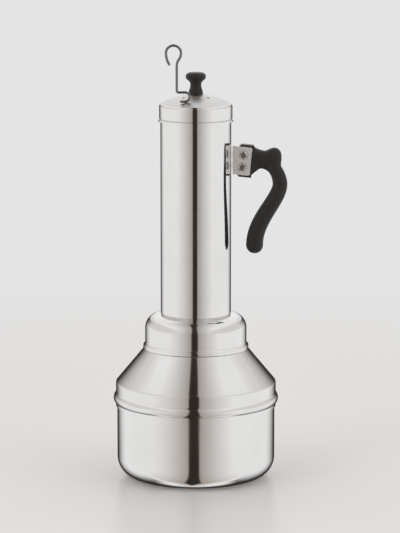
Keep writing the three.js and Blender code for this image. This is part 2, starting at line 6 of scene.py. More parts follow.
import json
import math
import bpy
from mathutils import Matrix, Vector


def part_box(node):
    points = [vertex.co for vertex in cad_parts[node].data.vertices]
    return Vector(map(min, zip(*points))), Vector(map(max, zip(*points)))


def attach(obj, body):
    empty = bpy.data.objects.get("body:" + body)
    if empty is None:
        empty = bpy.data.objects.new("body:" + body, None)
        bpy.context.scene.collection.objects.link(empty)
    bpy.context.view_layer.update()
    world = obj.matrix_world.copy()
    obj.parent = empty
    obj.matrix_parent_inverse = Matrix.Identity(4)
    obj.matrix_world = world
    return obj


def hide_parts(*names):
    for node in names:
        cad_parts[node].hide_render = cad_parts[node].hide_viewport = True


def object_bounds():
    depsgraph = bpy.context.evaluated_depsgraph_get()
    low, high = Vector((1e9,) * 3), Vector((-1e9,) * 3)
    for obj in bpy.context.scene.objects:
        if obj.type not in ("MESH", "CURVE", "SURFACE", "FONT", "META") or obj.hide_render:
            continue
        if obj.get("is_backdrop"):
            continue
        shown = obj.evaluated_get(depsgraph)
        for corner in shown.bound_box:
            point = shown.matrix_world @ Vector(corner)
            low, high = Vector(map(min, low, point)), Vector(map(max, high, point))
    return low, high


bl_info = {
    "name": "Puttu maker",
    "version": (1, 0, 0),
    "blender": (4, 5, 0),
    "location": "3D View > Sidebar > Puttu maker",
    "description": "Models the pieces of a puttu maker over its packed frame and sets a pale studio round it",
    "category": "Object",
}

import bmesh
import bpy
from mathutils import Matrix, Vector
from mathutils.geometry import interpolate_bezier

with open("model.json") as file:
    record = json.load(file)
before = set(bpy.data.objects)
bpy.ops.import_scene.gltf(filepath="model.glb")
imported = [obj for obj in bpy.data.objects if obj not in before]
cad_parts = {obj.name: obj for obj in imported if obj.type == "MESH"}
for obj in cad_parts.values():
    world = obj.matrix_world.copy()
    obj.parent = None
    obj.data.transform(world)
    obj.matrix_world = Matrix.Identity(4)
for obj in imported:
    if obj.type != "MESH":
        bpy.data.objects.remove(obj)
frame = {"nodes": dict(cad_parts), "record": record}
CAD_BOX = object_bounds()

MM = 0.001
LOW = {node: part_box(node)[0] for node in frame["nodes"]}
HIGH = {node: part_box(node)[1] for node in frame["nodes"]}
BODY = {node: body for body, nodes in frame["record"]["behaviour"]["bodies"].items() for node in nodes}

# Middle between the handle's two screws, about which the bracket and the handle's root are sloped
SCREWS = ("handle_screw_upper", "handle_screw_lower")
PIVOT = sum((LOW[node] + HIGH[node] for node in SCREWS), Vector()) / 4 * Vector((1, 0, 1))

SPIN_STEPS = 160            # faces round a large turned piece
SMALL_SPIN_STEPS = 64       # faces round a small turned piece
ROUND_STEP = math.radians(9)    # turn of each face in a rounded corner
CREASE = math.radians(38)   # edges that turn more than this stay sharp
OVERLAP = 1 * MM            # how far a cutting or joining shape runs past the surface
NEAR = 0.01 * MM            # places closer than this count as one
FLOOR_FADE = (0.45, 1.3)    # metres from the middle between which the floor turns into the background
SCREW_RIM = 0.1 * MM        # rounding of a screw head's lower edge
SCREW_POINT = 0.3 * MM      # rounding of a screw's far end


def linear(colour):
    """Linear red, green and blue of an sRGB hex colour."""
    parts = [int(colour[i:i + 2], 16) / 255 for i in (0, 2, 4)]
    return tuple(part / 12.92 if part <= 0.04045 else ((part + 0.055) / 1.055) ** 2.4 for part in parts)


def length(name, description, metres):
    """A size that a user may change."""
    return bpy.props.FloatProperty(
        name=name, description=description, default=metres, precision=4, unit="LENGTH"
    )


def tint(name, description, colour):
    """A colour that a user may change, from its sRGB hex value."""
    return bpy.props.FloatVectorProperty(
        name=name, description=description, default=linear(colour), min=0, max=1, subtype="COLOR"
    )


# Sizes and colours


class PotSizes(bpy.types.PropertyGroup):
    """Water pot and the cone that covers it."""

    sheet: length("Sheet", "Thickness of the spun steel", 0.8 * MM)
    radius: length("Pot radius", "Outside of the pot's wall", HIGH["pot"].x)
    corner: length("Pot corner", "Rounding from the base to the wall", 20 * MM)
    rim_top: length("Rim top", "Height of the pot's rolled rim", HIGH["pot"].z)
    rim_roll: length("Rim roll", "Radius of the rolled rim", 1.6 * MM)
    skirt_foot: length("Skirt foot", "Height of the cover's lower edge", LOW["pot_cover"].z)
    skirt_radius: length("Skirt radius", "Outside of the cover's skirt", HIGH["pot"].x + 1.2 * MM)
    skirt_height: length("Skirt height", "From the lower edge to the crease", 24.3 * MM)
    bead_radius: length("Bead radius", "Outermost line of the skirt's bead", HIGH["pot_cover"].x)
    bead_height: length("Bead height", "Height of the skirt's bead", 10 * MM)
    skirt_edge: length("Skirt edge", "Straight edge of the skirt under the bead", 3 * MM)
    crease: length("Crease", "Rounding from the skirt to the cone", 2.2 * MM)
    neck_radius: length("Neck radius", "Outside of the neck inside the collar", 49.4 * MM)
    neck_top: length("Neck top", "Height of the neck's upper edge", HIGH["pot_cover"].z)
    neck_height: length("Neck height", "Straight length of the neck", 13 * MM)


class TubeSizes(bpy.types.PropertyGroup):
    """Collar, steaming tube and the disc inside it."""

    collar_foot: length("Collar foot", "Height of the collar's lower edge", LOW["tube_collar"].z)
    collar_top: length("Collar top", "Height of the collar's top", HIGH["tube_collar"].z)
    collar_bead: length("Collar bead", "Outermost line of the collar's bead", HIGH["tube_collar"].x)
    collar_bead_height: length("Collar bead height", "Height of the collar's bead", 3 * MM)
    collar_radius: length("Collar radius", "Outside of the collar's wall", 50.6 * MM)
    collar_round: length("Collar rounding", "Rounding of the collar's top edge", 14 * MM)
    collar_bore: length("Collar bore", "Where the collar meets the tube", HIGH["steam_tube"].x + 0.05 * MM)
    radius: length("Tube radius", "Outside of the tube", HIGH["steam_tube"].x)
    foot: length("Tube foot", "Height of the tube's lower end", LOW["steam_tube"].z)
    top: length("Tube top", "Height of the tube's upper end", HIGH["steam_tube"].z)
    lip: length("Lip", "Reach of the inner lip that carries the disc", 5.3 * MM)
    lip_round: length("Lip rounding", "Rounding of the tube's lower edge", 1.2 * MM)
    disc_radius: length("Disc radius", "Edge of the perforated disc", HIGH["steam_disc"].x)
    steam_hole: length("Steam hole", "Radius of the disc's holes", 1.6 * MM)
    steam_pitch: length("Steam pitch", "Spacing of the rings of holes", 8.4 * MM)
    steam_rings: bpy.props.IntProperty(
        name="Steam rings", description="Rings of holes round the middle one", default=3, min=1
    )


class LidSizes(bpy.types.PropertyGroup):
    """Lid, its knob and what fastens the knob."""

    foot: length("Lid foot", "Height of the lid's lower edge", LOW["lid"].z)
    radius: length("Lid radius", "Outside of the lid's skirt", HIGH["steam_tube"].x + 1.2 * MM)
    skirt_height: length("Lid skirt", "From the lower edge to the top edge", 17.3 * MM)
    bead_radius: length("Lid bead", "Outermost line of the lid's bead", HIGH["lid"].x)
    bead_height: length("Lid bead height", "Height of the lid's bead", 1.6 * MM)
    hem: length("Hem", "Depth of the groove that the rolled edge leaves over the bead", 0.4 * MM)
    edge: length("Lid edge", "Rounding of the top edge", 3 * MM)
    dome_height: length("Dome height", "Rise of the dome over the top edge", 9 * MM)
    seat: length("Knob seat", "Radius of the flat under the knob", 8.2 * MM)
    vent: length("Vent", "Radius of the steam vents", 1.7 * MM)
    vent_circle: length("Vent circle", "Radius of the circle that the vents lie on", 17 * MM)
    vents: bpy.props.IntProperty(name="Vents", description="Number of steam vents", default=4, min=0)
    knob_foot: length("Knob foot", "Radius of the knob's foot", 7.1 * MM)
    knob_waist: length("Knob waist", "Radius of the knob's waist", 5.4 * MM)
    knob_waist_height: length("Knob waist height", "Waist over the foot", 10 * MM)
    knob_brim: length("Knob brim", "Largest radius of the knob", HIGH["lid_knob"].x)
    knob_brim_height: length("Knob brim height", "Brim over the foot", 17.6 * MM)
    knob_top: length("Knob top", "Radius where the rounded top turns flat", 6 * MM)
    bush_play: length("Bush play", "Gap between the bush and the knob", 0.3 * MM)
    hole: length("Screw hole", "Radius of a screw's hole", 2.3 * MM)


class HandleSizes(bpy.types.PropertyGroup):
    """Bracket, handle, screws and nuts."""

    sheet: length("Bracket sheet", "Thickness of the bracket", 1.3 * MM)
    back_radius: length("Bracket back", "Back that hugs the tube", HIGH["steam_tube"].x + 0.3 * MM)
    bracket_height: length("Bracket height", "Height of the bracket", 28 * MM)
    screw_inset: length("Screw inset", "From the screws to the cheeks' ends", 8.1 * MM)
    tilt: bpy.props.FloatProperty(
        name="Tilt", description="Slope of the bracket and the handle's root, down and outwards",
        default=math.radians(5.5), subtype="ANGLE",
    )
    cheek_corner: length("Cheek corner", "Rounding of the cheeks' corners", 2 * MM)
    edge: length("Bracket edge", "Softening of the bracket's edges", 0.25 * MM)
    root_gap: length("Root gap", "Gap between the cheeks and the handle", 0.3 * MM)
    depth: length("Handle depth", "Handle across, along Y", 16 * MM)
    grip: length("Grip", "Thickness of the grip at its bend, seen from the side", 14.6 * MM)
    tip: length("Tip", "Thickness of the grip above its rounded tip", 17 * MM)
    waist: length("Waist", "Thickness of the grip between its thumb rest and its bend", 13.4 * MM)
    neck: length("Neck", "Thickness of the neck behind the bracket", 18 * MM)
    neck_rise: length("Neck rise", "How far the middle line is pulled up behind the root", 7 * MM)
    neck_reach: length("Neck reach", "From the root to where its flare ends", 12 * MM)
    bend_drop: length("Bend drop", "Outermost point below the screws' middle", 23.5 * MM)
    tip_reach: length("Tip reach", "Middle of the tip beyond the screws", 11.9 * MM)
    thumb_width: length("Thumb rest width", "Thumb rest on the bend, along X", 15.2 * MM)
    thumb_height: length("Thumb rest height", "Height of the thumb rest", 20.6 * MM)
    thumb_reach: length("Thumb rest reach", "Middle of the thumb rest beyond the screws", 30.8 * MM)
    thumb_rise: length("Thumb rest rise", "Middle of the thumb rest above the screws' middle", 2.6 * MM)
    tongue: length("Tongue", "Thickness of the tongue between the cheeks", 10 * MM)
    tongue_back: length("Tongue back", "From the screws to the tongue's inner edge", 8.6 * MM)
    tongue_show: length("Tongue edge", "Tongue above and below the cheeks", 2 * MM)
    tongue_slope: length("Tongue slope", "Slope of the tongue's inner corners", 6 * MM)
    screw: length("Screw", "Radius of a screw's shank", 2 * MM)
    screw_head: length("Screw head", "Radius of a screw's head", 4 * MM)
    screw_head_height: length("Screw head height", "Height of a screw's head", 2.2 * MM)
    screw_dome: length("Screw dome", "Rounding of a screw's head", 1.5 * MM)
    slot: length("Screw slot", "Width of the slot in a screw's head", 1 * MM)
    nut: length("Nut", "Half the nut across its flats", 3.5 * MM)


class StickSizes(bpy.types.PropertyGroup):
    """Wire stick on the lid."""

    wire: length("Wire", "Radius of the wire", 1.25 * MM)
    shaft: length("Shaft", "Place of the shaft along X", -18.5 * MM)
    hook_height: length("Hook height", "Between the two runs of the hooked foot", 9 * MM)
    hook_tip: length("Hook tip", "End of the lower run, from the shaft", 3.7 * MM)
    hook_run: length("Hook run", "Start of the hook's turn, from the shaft", 8.1 * MM)
    bend: length("Bend", "Bend between the shaft and the foot", 2 * MM)
    shaft_height: length("Shaft height", "Height where the eye begins", 34.6 * MM)
    eye: length("Eye", "Radius of the eye", 7.3 * MM)
    eye_side: length("Eye side", "Middle of the eye, from the shaft", -3.2 * MM)
    eye_height: length("Eye height", "Middle of the eye, over the foot", 47.5 * MM)
    end_side: length("End side", "Open end of the eye, from the shaft", -7.1 * MM)
    end_height: length("End height", "Open end of the eye, over the foot", 36 * MM)
    pull: length("Pull", "How far the eye's sides run straight", 6.6 * MM)


class Finishes(bpy.types.PropertyGroup):
    """Colours of the finishes."""

    steel: tint("Steel", "Polished stainless steel", "DDDCDC")
    steel_haze: tint("Steel haze", "Steel where hands and polish left a haze", "D1D0CE")
    satin: tint("Satin steel", "Steel of the lid's dome, scoured dull", "D2D1D0")
    inner_steel: tint("Inner steel", "Steel inside the pot, cover and tube", "C9C8C6")
    strip: tint("Strip", "Tumbled steel of the bracket", "EEEDEC")
    wire: tint("Wire", "Drawn steel of the stick", "7E7B79")
    phenolic: tint("Phenolic", "Black moulding compound", "2B2928")
    phenolic_fleck: tint("Phenolic fleck", "Filler that shows in the moulding", "3A3836")
    nickel: tint("Nickel", "Nickel plating of screws and nuts", "C2BEB6")
    brass: tint("Brass", "Turned brass of the bush", "C4A462")


class StageSettings(bpy.types.PropertyGroup):
    """Floor, light and camera."""

    floor: tint("Floor", "Pale floor near the object", "DCDBDA")
    background: tint("Background", "Pale background far from the object", "E4E4E4")
    cloth: tint("Cloth", "White cloth of the light tent", "FFFFFF")
    shade: tint("Shade", "Cloth beside the gap in the tent", "AFA49C")
    gap: tint("Gap", "Dark gap in the tent towards the viewer", "352F2B")
    card: tint("Card", "Dark card behind the object", "383432")
    strength: bpy.props.FloatProperty(
        name="Tent light", description="Brightness of the tent's white cloth", default=1.1, min=0
    )
    elevation: bpy.props.FloatProperty(
        name="Elevation", description="Camera above the horizon", default=math.radians(9.5), subtype="ANGLE"
    )
    distance: length("Distance", "From the camera to the object's middle", 2.8)
    aim: length("Aim", "Height that the camera looks at", 212 * MM)
    lens: bpy.props.FloatProperty(
        name="Lens", description="Focal length of the camera", default=190, unit="CAMERA"
    )


class PuttuMaker(bpy.types.PropertyGroup):
    """All sizes, colours and settings."""

    pot: bpy.props.PointerProperty(name="Pot", description="Pot and cover", type=PotSizes)
    tube: bpy.props.PointerProperty(name="Tube", description="Collar, tube and disc", type=TubeSizes)
    lid: bpy.props.PointerProperty(name="Lid", description="Lid and knob", type=LidSizes)
    handle: bpy.props.PointerProperty(name="Handle", description="Bracket and handle", type=HandleSizes)
    stick: bpy.props.PointerProperty(name="Stick", description="Wire stick", type=StickSizes)
    finish: bpy.props.PointerProperty(name="Finish", description="Colours", type=Finishes)
    stage: bpy.props.PointerProperty(name="Stage", description="Floor, light, camera", type=StageSettings)


# Mesh helpers


def rounded_wire(bm, corners, closed=False):
    """Draws a wire in the X-Z plane through corners of (x, z, rounding radius)."""
    verts = [bm.verts.new((x, 0, z)) for x, z, _ in corners]
    ends = verts[1:] + verts[:1] if closed else verts[1:]
    for start, end in zip(verts, ends):
        bm.edges.new((start, end))
    rounds = []
    for i, (_, _, radius) in enumerate(corners):
        if radius > 0:
            before, after = verts[i - 1].co, verts[(i + 1) % len(verts)].co
            turn = (verts[i].co - before).angle(after - verts[i].co)
            rounds.append((verts[i], radius * math.tan(turn / 2), max(2, round(turn / ROUND_STEP))))
    for vert, offset, segments in rounds:
        bmesh.ops.bevel(
            bm, geom=[vert], offset=offset, affect="VERTICES", segments=segments, profile=0.5, material=-1
        )


def face_outwards(bm):
    """Turns the faces of a bmesh outwards. A closed shape whose volume is negative is inside out."""
    bm.normal_update()
    bmesh.ops.recalc_face_normals(bm, faces=bm.faces[:])
    if all(edge.is_manifold for edge in bm.edges) and bm.calc_volume(signed=True) < 0:
        bmesh.ops.reverse_faces(bm, faces=bm.faces[:])


def arc(middle, radius, start, end, steps):
    """Points on an arc in the X-Z plane, both ends included."""
    angles = [start + (end - start) * i / steps for i in range(steps + 1)]
    return [(middle[0] + radius * math.cos(a), middle[1] + radius * math.sin(a)) for a in angles]


def sharp(points):
    """Points as corners with no rounding."""
    return [(x, z, 0) for x, z in points]


def smooth(share):
    """A share of a way, eased at both ends and held between 0 and 1."""
    share = min(max(share, 0), 1)
    return share * share * (3 - 2 * share)


def spun(corners, sheet=0, closed=False, steps=SPIN_STEPS):
    """Turns a wire about the Z axis. A sheet gets its thickness inwards, with its inner faces in slot 1."""
    bm = bmesh.new()
    rounded_wire(bm, corners, closed)
    bmesh.ops.spin(
        bm, geom=bm.verts[:] + bm.edges[:], cent=(0, 0, 0), axis=(0, 0, 1),
        angle=2 * math.pi, steps=steps, use_merge=True,
    )
    bmesh.ops.remove_doubles(bm, verts=bm.verts[:], dist=0.001 * MM)
    face_outwards(bm)
    if sheet:
        outer = set(bm.faces)
        bmesh.ops.solidify(bm, geom=bm.faces[:], thickness=sheet)
        for face in bm.faces:
            face.material_index = 0 if face in outer else 1
    return bm


def swept(section, places):
    """Extrudes a capped section through the places, which hold its scale and turn at each ring."""
    bm = section
    bmesh.ops.transform(bm, matrix=places[0], verts=bm.verts[:])
    rim = bm.edges[:]
    for here, there in zip(places, places[1:]):
        made = bmesh.ops.extrude_edge_only(bm, edges=rim)["geom"]
        verts = {item for item in made if isinstance(item, bmesh.types.BMVert)}
        rim = [item for item in made if isinstance(item, bmesh.types.BMEdge) and verts.issuperset(item.verts)]
        bmesh.ops.transform(bm, matrix=there @ here.inverted(), verts=list(verts))
    bmesh.ops.contextual_create(bm, geom=rim)
    face_outwards(bm)
    return bm


def place_ring(middle, along, width, depth):
    """Place of a ring in the X-Z plane: X of the ring lies across the path, and Y stays Y."""
    across = Vector((-along.z, 0, along.x))
    columns = (across * width, Vector((0, depth, 0)), along, middle)
    return Matrix([[column[i] for column in columns] for i in range(3)] + [[0, 0, 0, 1]])


def raised(bm, height):
    """Extrudes the flat faces of a bmesh upwards into a plate."""
    made = bmesh.ops.extrude_face_region(bm, geom=bm.faces[:])["geom"]
    verts = [item for item in made if isinstance(item, bmesh.types.BMVert)]
    bmesh.ops.translate(bm, vec=(0, 0, height), verts=verts)
    face_outwards(bm)
    return bm


def bar(radius, start, end, steps=32):
    """A round bar between two points."""
    bm = bmesh.new()
    along = end - start
    place = Matrix.Translation((start + end) / 2) @ along.to_track_quat("Z", "Y").to_matrix().to_4x4()
    bmesh.ops.create_cone(
        bm, cap_ends=True, segments=steps, radius1=radius, radius2=radius, depth=along.length, matrix=place
    )
    return bm


def object_of(name, bm, *materials):
    """An object at the origin that holds a bmesh, with a slot for each material."""
    mesh = bpy.data.meshes.new(name)
    for material in materials:
        mesh.materials.append(material)
    bm.to_mesh(mesh)
    bm.free()
    made = bpy.data.objects.new(name, mesh)
    bpy.context.scene.collection.objects.link(made)
    return made


def combine(piece, bm, operation, crossing=False):
    """Cuts a shape out of a piece, or joins it on, for good. Crossing faces of the piece are cleaned too."""
    other = object_of("other_shape", bm)
    modifier = piece.modifiers.new(operation.lower(), "BOOLEAN")
    modifier.object = other
    modifier.operation = operation
    modifier.solver = "EXACT"
    modifier.use_self = crossing
    bpy.context.view_layer.update()
    shaped = piece.evaluated_get(bpy.context.evaluated_depsgraph_get())
    piece.data = bpy.data.meshes.new_from_object(shaped)
    piece.modifiers.clear()
    bpy.data.objects.remove(other)


def soften(piece, width, segments=2):
    """Rounds a piece's sharp edges a little, so that they catch the light."""
    modifier = piece.modifiers.new("soft_edges", "BEVEL")
    modifier.width = width
    modifier.segments = segments
    modifier.limit_method = "ANGLE"
    modifier.angle_limit = CREASE
    modifier.harden_normals = True


def settle(piece, node):
    """Smooths a piece and gives it its place in the frame, where it stands for a node."""
    mesh = piece.data
    mesh.name = piece.name
    mesh.shade_smooth()
    mesh.set_sharp_from_angle(angle=CREASE)
    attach(piece, BODY[node])
    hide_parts(node)


# Materials


def add_node(tree, kind, inputs=None, **settings):
    """Adds a shader node with its settings. A node or socket among its inputs is linked, the rest is set."""
    made = tree.nodes.new(f"ShaderNode{kind}")
    for name, value in settings.items():
        setattr(made, name, value)
    for name, value in (inputs or {}).items():
        if isinstance(value, bpy.types.Node):
            value = value.outputs[0]
        if isinstance(value, bpy.types.NodeSocket):
            tree.links.new(value, made.inputs[name])
        else:
            made.inputs[name].default_value = value
    return made


def new_material(name):
    """An empty node material."""
    material = bpy.data.materials.new(name)
    material.use_nodes = True
    material.node_tree.nodes.clear()
    return material


def surfaced(name, pattern):
    """A material that is made once. Its pattern gives the shader's inputs from the place on the object."""
    if name in bpy.data.materials:
        return bpy.data.materials[name]
    material = new_material(name)
    tree = material.node_tree
    place = add_node(tree, "TexCoord").outputs["Object"]
    surface = add_node(tree, "BsdfPrincipled", pattern(tree, place))
    add_node(tree, "OutputMaterial", {"Surface": surface})
    return material


def per_mm(size):
    """Scale of a pattern whose features are this many millimetres apart."""
    return 1 / (size * MM)


def radius_of(tree, place):
    """Distance of a place from the Z axis."""
    flat = add_node(tree, "VectorMath", {0: place, 1: (1, 1, 0)}, operation="MULTIPLY")
    return add_node(tree, "VectorMath", {0: flat}, operation="LENGTH").outputs["Value"]


def turned_place(tree, place):
    """Radius and height of a place, in which a pattern runs in rings about the Z axis."""
    height = add_node(tree, "SeparateXYZ", {0: place}).outputs["Z"]
    return add_node(tree, "CombineXYZ", {"X": radius_of(tree, place), "Y": height})


def polished_steel(finish):
    """Stainless steel, spun on a lathe and buffed to a mirror.

    It gives clear reflections, drawn out a little across the rings that the buffing wheel left,
    with a faint wave from spinning and a duller haze where it was wiped and handled.
    """

    def pattern(tree, place):
        # Real buffing rings are a few hundredths of a millimetre apart. They are drawn 2 mm apart to show.
        rings = add_node(
            tree, "TexNoise", {"Vector": turned_place(tree, place), "Scale": per_mm(2), "Detail": 3}
        )
        haze = add_node(tree, "TexNoise", {"Vector": place, "Scale": per_mm(38), "Detail": 4})
        wave = add_node(tree, "TexNoise", {"Vector": place, "Scale": per_mm(45), "Detail": 0})
        dull = add_node(tree, "Math", {0: rings, 1: 0.35, 2: haze}, operation="MULTIPLY_ADD")
        rough = add_node(
            tree, "MapRange",
            {"Value": dull, "From Min": 0.45, "From Max": 0.95, "To Min": 0.045, "To Max": 0.13},
        )
        colour = add_node(
            tree, "Mix", {0: haze, 6: (*finish.steel, 1), 7: (*finish.steel_haze, 1)}, data_type="RGBA"
        )
        waved = add_node(tree, "Bump", {"Height": wave, "Strength": 1, "Distance": 0.03 * MM})
        ringed = add_node(
            tree, "Bump", {"Height": rings, "Strength": 1, "Distance": 0.006 * MM, "Normal": waved}
        )
        return {"Base Color": colour.outputs[2], "Metallic": 1, "Roughness": rough, "Normal": ringed}

    return surfaced("mirror_polished_stainless_steel", pattern)


def satin_steel(finish):
    """Stainless steel, scoured in circles with a fine pad.

    It gives a soft bright sheen, in which the knob on it leaves only a faint shade and no clear image.
    """

    def pattern(tree, place):
        # Real scouring lines are a few hundredths of a millimetre apart. They are drawn 0.5 mm apart.
        lines = add_node(
            tree, "TexNoise", {"W": radius_of(tree, place), "Scale": per_mm(0.5), "Detail": 2},
            noise_dimensions="1D",
        )
        rough = add_node(
            tree, "MapRange",
            {"Value": lines, "From Min": 0.3, "From Max": 0.7, "To Min": 0.36, "To Max": 0.48},
        )
        lined = add_node(tree, "Bump", {"Height": lines, "Strength": 1, "Distance": 0.006 * MM})
        return {"Base Color": (*finish.satin, 1), "Metallic": 1, "Roughness": rough, "Normal": lined}

    return surfaced("satin_stainless_steel", pattern)


def grained_metal(name, colour, spacing, detail, rough, depth=0, drawn=None, turned=False):
    """A metal whose gloss follows one fine grain, and its relief too where the grain has a depth.

    The spacing is in millimetres. The grain may run in rings about the Z axis, or be drawn out.
    """

    def pattern(tree, place):
        if turned:
            place = turned_place(tree, place)
        if drawn:
            place = add_node(tree, "Mapping", {"Vector": place, "Scale": drawn})
        grain = add_node(tree, "TexNoise", {"Vector": place, "Scale": per_mm(spacing), "Detail": detail})
        gloss = add_node(
            tree, "MapRange",
            {"Value": grain, "From Min": 0.3, "From Max": 0.7, "To Min": rough[0], "To Max": rough[1]},
        )
        inputs = {"Base Color": (*colour, 1), "Metallic": 1, "Roughness": gloss}
        if depth:
            inputs["Normal"] = add_node(tree, "Bump", {"Height": grain, "Strength": 1, "Distance": depth})
        return inputs

    return surfaced(name, pattern)


def inner_steel(finish):
    """The steel's inner side, spun but never buffed.

    It gives blurred reflections with plain rings from the spinning tool.
    """
    return grained_metal(
        "spun_stainless_steel", finish.inner_steel, spacing=1.2, detail=2, rough=(0.26, 0.38),
        depth=0.02 * MM, turned=True,
    )


def steels(finish):
    """The two sides of a spun piece: polished outside, and as spun inside."""
    return polished_steel(finish), inner_steel(finish)


def pressed_steel(finish):
    """Cold-rolled stainless strip, folded and tumbled but not buffed.

    It gives broad soft reflections beside the mirror of the spun pieces, with a fine level grain.
    """
    # Rolling lines run level, so the grain is drawn out twelve times along X and Y.
    return grained_metal(
        "tumbled_stainless_strip", finish.strip, spacing=0.8, detail=3, rough=(0.44, 0.56),
        depth=0.008 * MM, drawn=(1 / 12, 1 / 12, 1),
    )


def drawn_wire(finish):
    """Stainless wire, drawn through a die and bent by hand.

    It gives a darker grey than the polished sheet, with fine streaks that run along the wire's length.
    """
    # The streaks are drawn out ten times up the shaft. Real ones are finer than a tenth of a millimetre.
    return grained_metal(
        "drawn_stainless_wire", finish.wire, spacing=0.5, detail=2, rough=(0.2, 0.34), drawn=(1, 1, 0.1)
    )


def plated_steel(finish):
    """Turned steel with bright nickel plating.

    It gives a slightly yellow white metal whose gloss is broken by the cutting marks under the plating.
    """
    return grained_metal(
        "nickel_plated_steel", finish.nickel, spacing=0.7, detail=2, rough=(0.16, 0.3), depth=0.01 * MM
    )


def turned_brass(finish):
    """Free-cutting brass as it comes off the lathe.

    It gives a warm yellow metal with dull patches where it has begun to tarnish.
    """
    return grained_metal("turned_brass", finish.brass, spacing=2.5, detail=3, rough=(0.22, 0.42))


def black_phenolic(finish):
    """Phenolic compound, compression moulded in two halves and left as it comes from the mould.

    It gives a deep warm black with a fine fleck of filler, a broken gloss from slight orange peel,
    and a thin seam where the mould's halves met.
    """

    def pattern(tree, place):
        fleck = add_node(tree, "TexNoise", {"Vector": place, "Scale": per_mm(1.1), "Detail": 4})
        peel = add_node(tree, "TexNoise", {"Vector": place, "Scale": per_mm(2.4), "Detail": 1})
        colour = add_node(
            tree, "Mix", {0: fleck, 6: (*finish.phenolic, 1), 7: (*finish.phenolic_fleck, 1)},
            data_type="RGBA",
        )
        rough = add_node(
            tree, "MapRange",
            {"Value": peel, "From Min": 0.3, "From Max": 0.7, "To Min": 0.27, "To Max": 0.4},
        )
        across = add_node(tree, "SeparateXYZ", {0: place}).outputs["Y"]
        aside = add_node(tree, "Math", {0: across}, operation="ABSOLUTE")
        seam = add_node(
            tree, "MapRange",
            {"Value": aside, "From Min": 0.15 * MM, "From Max": 0.5 * MM, "To Min": 1, "To Max": 0},
            interpolation_type="SMOOTHSTEP",
        )
        peeled = add_node(tree, "Bump", {"Height": peel, "Strength": 1, "Distance": 0.03 * MM})
        seamed = add_node(
            tree, "Bump", {"Height": seam, "Strength": 1, "Distance": 0.12 * MM, "Normal": peeled}
        )
        return {
            "Base Color": colour.outputs[2], "Roughness": rough, "Specular IOR Level": 0.15, "Normal": seamed,
        }

    return surfaced("compression_moulded_phenolic", pattern)


# Pieces


class PUTTU_OT_pot(bpy.types.Operator):
    """Spins the water pot, with a rounded corner and a rolled rim"""

    bl_idname = "puttu.pot"
    bl_label = "Water pot"

    RIM_STEPS = 12              # faces round the rolled rim

    def execute(self, context):
        settings = context.scene.puttu_maker
        size = settings.pot
        roll = (size.radius - size.rim_roll, size.rim_top - size.rim_roll)
        corners = [
            (0, 0, 0),
            (size.radius, 0, size.corner),
            *sharp(arc(roll, size.rim_roll, 0, math.pi, self.RIM_STEPS)),
        ]
        piece = object_of("water_pot", spun(corners, size.sheet), *steels(settings.finish))
        settle(piece, "pot")
        return {"FINISHED"}


class PUTTU_OT_cover(bpy.types.Operator):
    """Spins the conical cover, with a beaded skirt and a straight neck"""

    bl_idname = "puttu.cover"
    bl_label = "Conical cover"

    BEAD_STEPS = 14             # faces up the bead

    def execute(self, context):
        settings = context.scene.puttu_maker
        size = settings.pot
        swell = size.bead_radius - size.skirt_radius
        ball = ((size.bead_height / 2) ** 2 + swell ** 2) / (2 * swell)
        turn = math.asin(size.bead_height / 2 / ball)
        bead_middle = size.skirt_foot + size.skirt_edge + size.bead_height / 2
        bead = arc((size.bead_radius - ball, bead_middle), ball, -turn, turn, self.BEAD_STEPS)
        corners = [
            (size.skirt_radius, size.skirt_foot, 0),
            *sharp(bead),
            (size.skirt_radius, size.skirt_foot + size.skirt_height, size.crease),
            (size.neck_radius, size.neck_top - size.neck_height, size.crease),
            (size.neck_radius, size.neck_top, 0),
        ]
        piece = object_of("conical_cover", spun(corners, size.sheet), *steels(settings.finish))
        settle(piece, "pot_cover")
        return {"FINISHED"}


class PUTTU_OT_collar(bpy.types.Operator):
    """Spins the collar at the tube's foot, with a beaded edge and a rounded top"""

    bl_idname = "puttu.collar"
    bl_label = "Tube collar"

    BEAD_ROUND = 0.8 * MM       # rounding of the bead's upper edge
    BEAD_HOLLOW = 1.5 * MM      # rounding from the bead into the wall

    def execute(self, context):
        settings = context.scene.puttu_maker
        size = settings.tube
        step = size.collar_bead - size.collar_radius
        bead_top = size.collar_foot + size.collar_bead_height
        corners = [
            (size.collar_bead, size.collar_foot, 0),
            (size.collar_bead, bead_top, self.BEAD_ROUND),
            (size.collar_radius, bead_top + step, self.BEAD_HOLLOW),
            (size.collar_radius, size.collar_top, size.collar_round),
            (size.collar_bore, size.collar_top, 0),
        ]
        piece = object_of("rounded_collar", spun(corners, settings.pot.sheet), *steels(settings.finish))
        settle(piece, "tube_collar")
        return {"FINISHED"}


class PUTTU_OT_tube(bpy.types.Operator):
    """Spins the steaming tube, with a lip turned inwards at its foot"""

    bl_idname = "puttu.tube"
    bl_label = "Steaming tube"

    def execute(self, context):
        settings = context.scene.puttu_maker
        size = settings.tube
        corners = [
            (size.radius - size.lip, size.foot, 0),
            (size.radius, size.foot, size.lip_round),
            (size.radius, size.top, 0),
        ]
        piece = object_of("steaming_tube", spun(corners, settings.pot.sheet), *steels(settings.finish))
        settle(piece, "steam_tube")
        return {"FINISHED"}


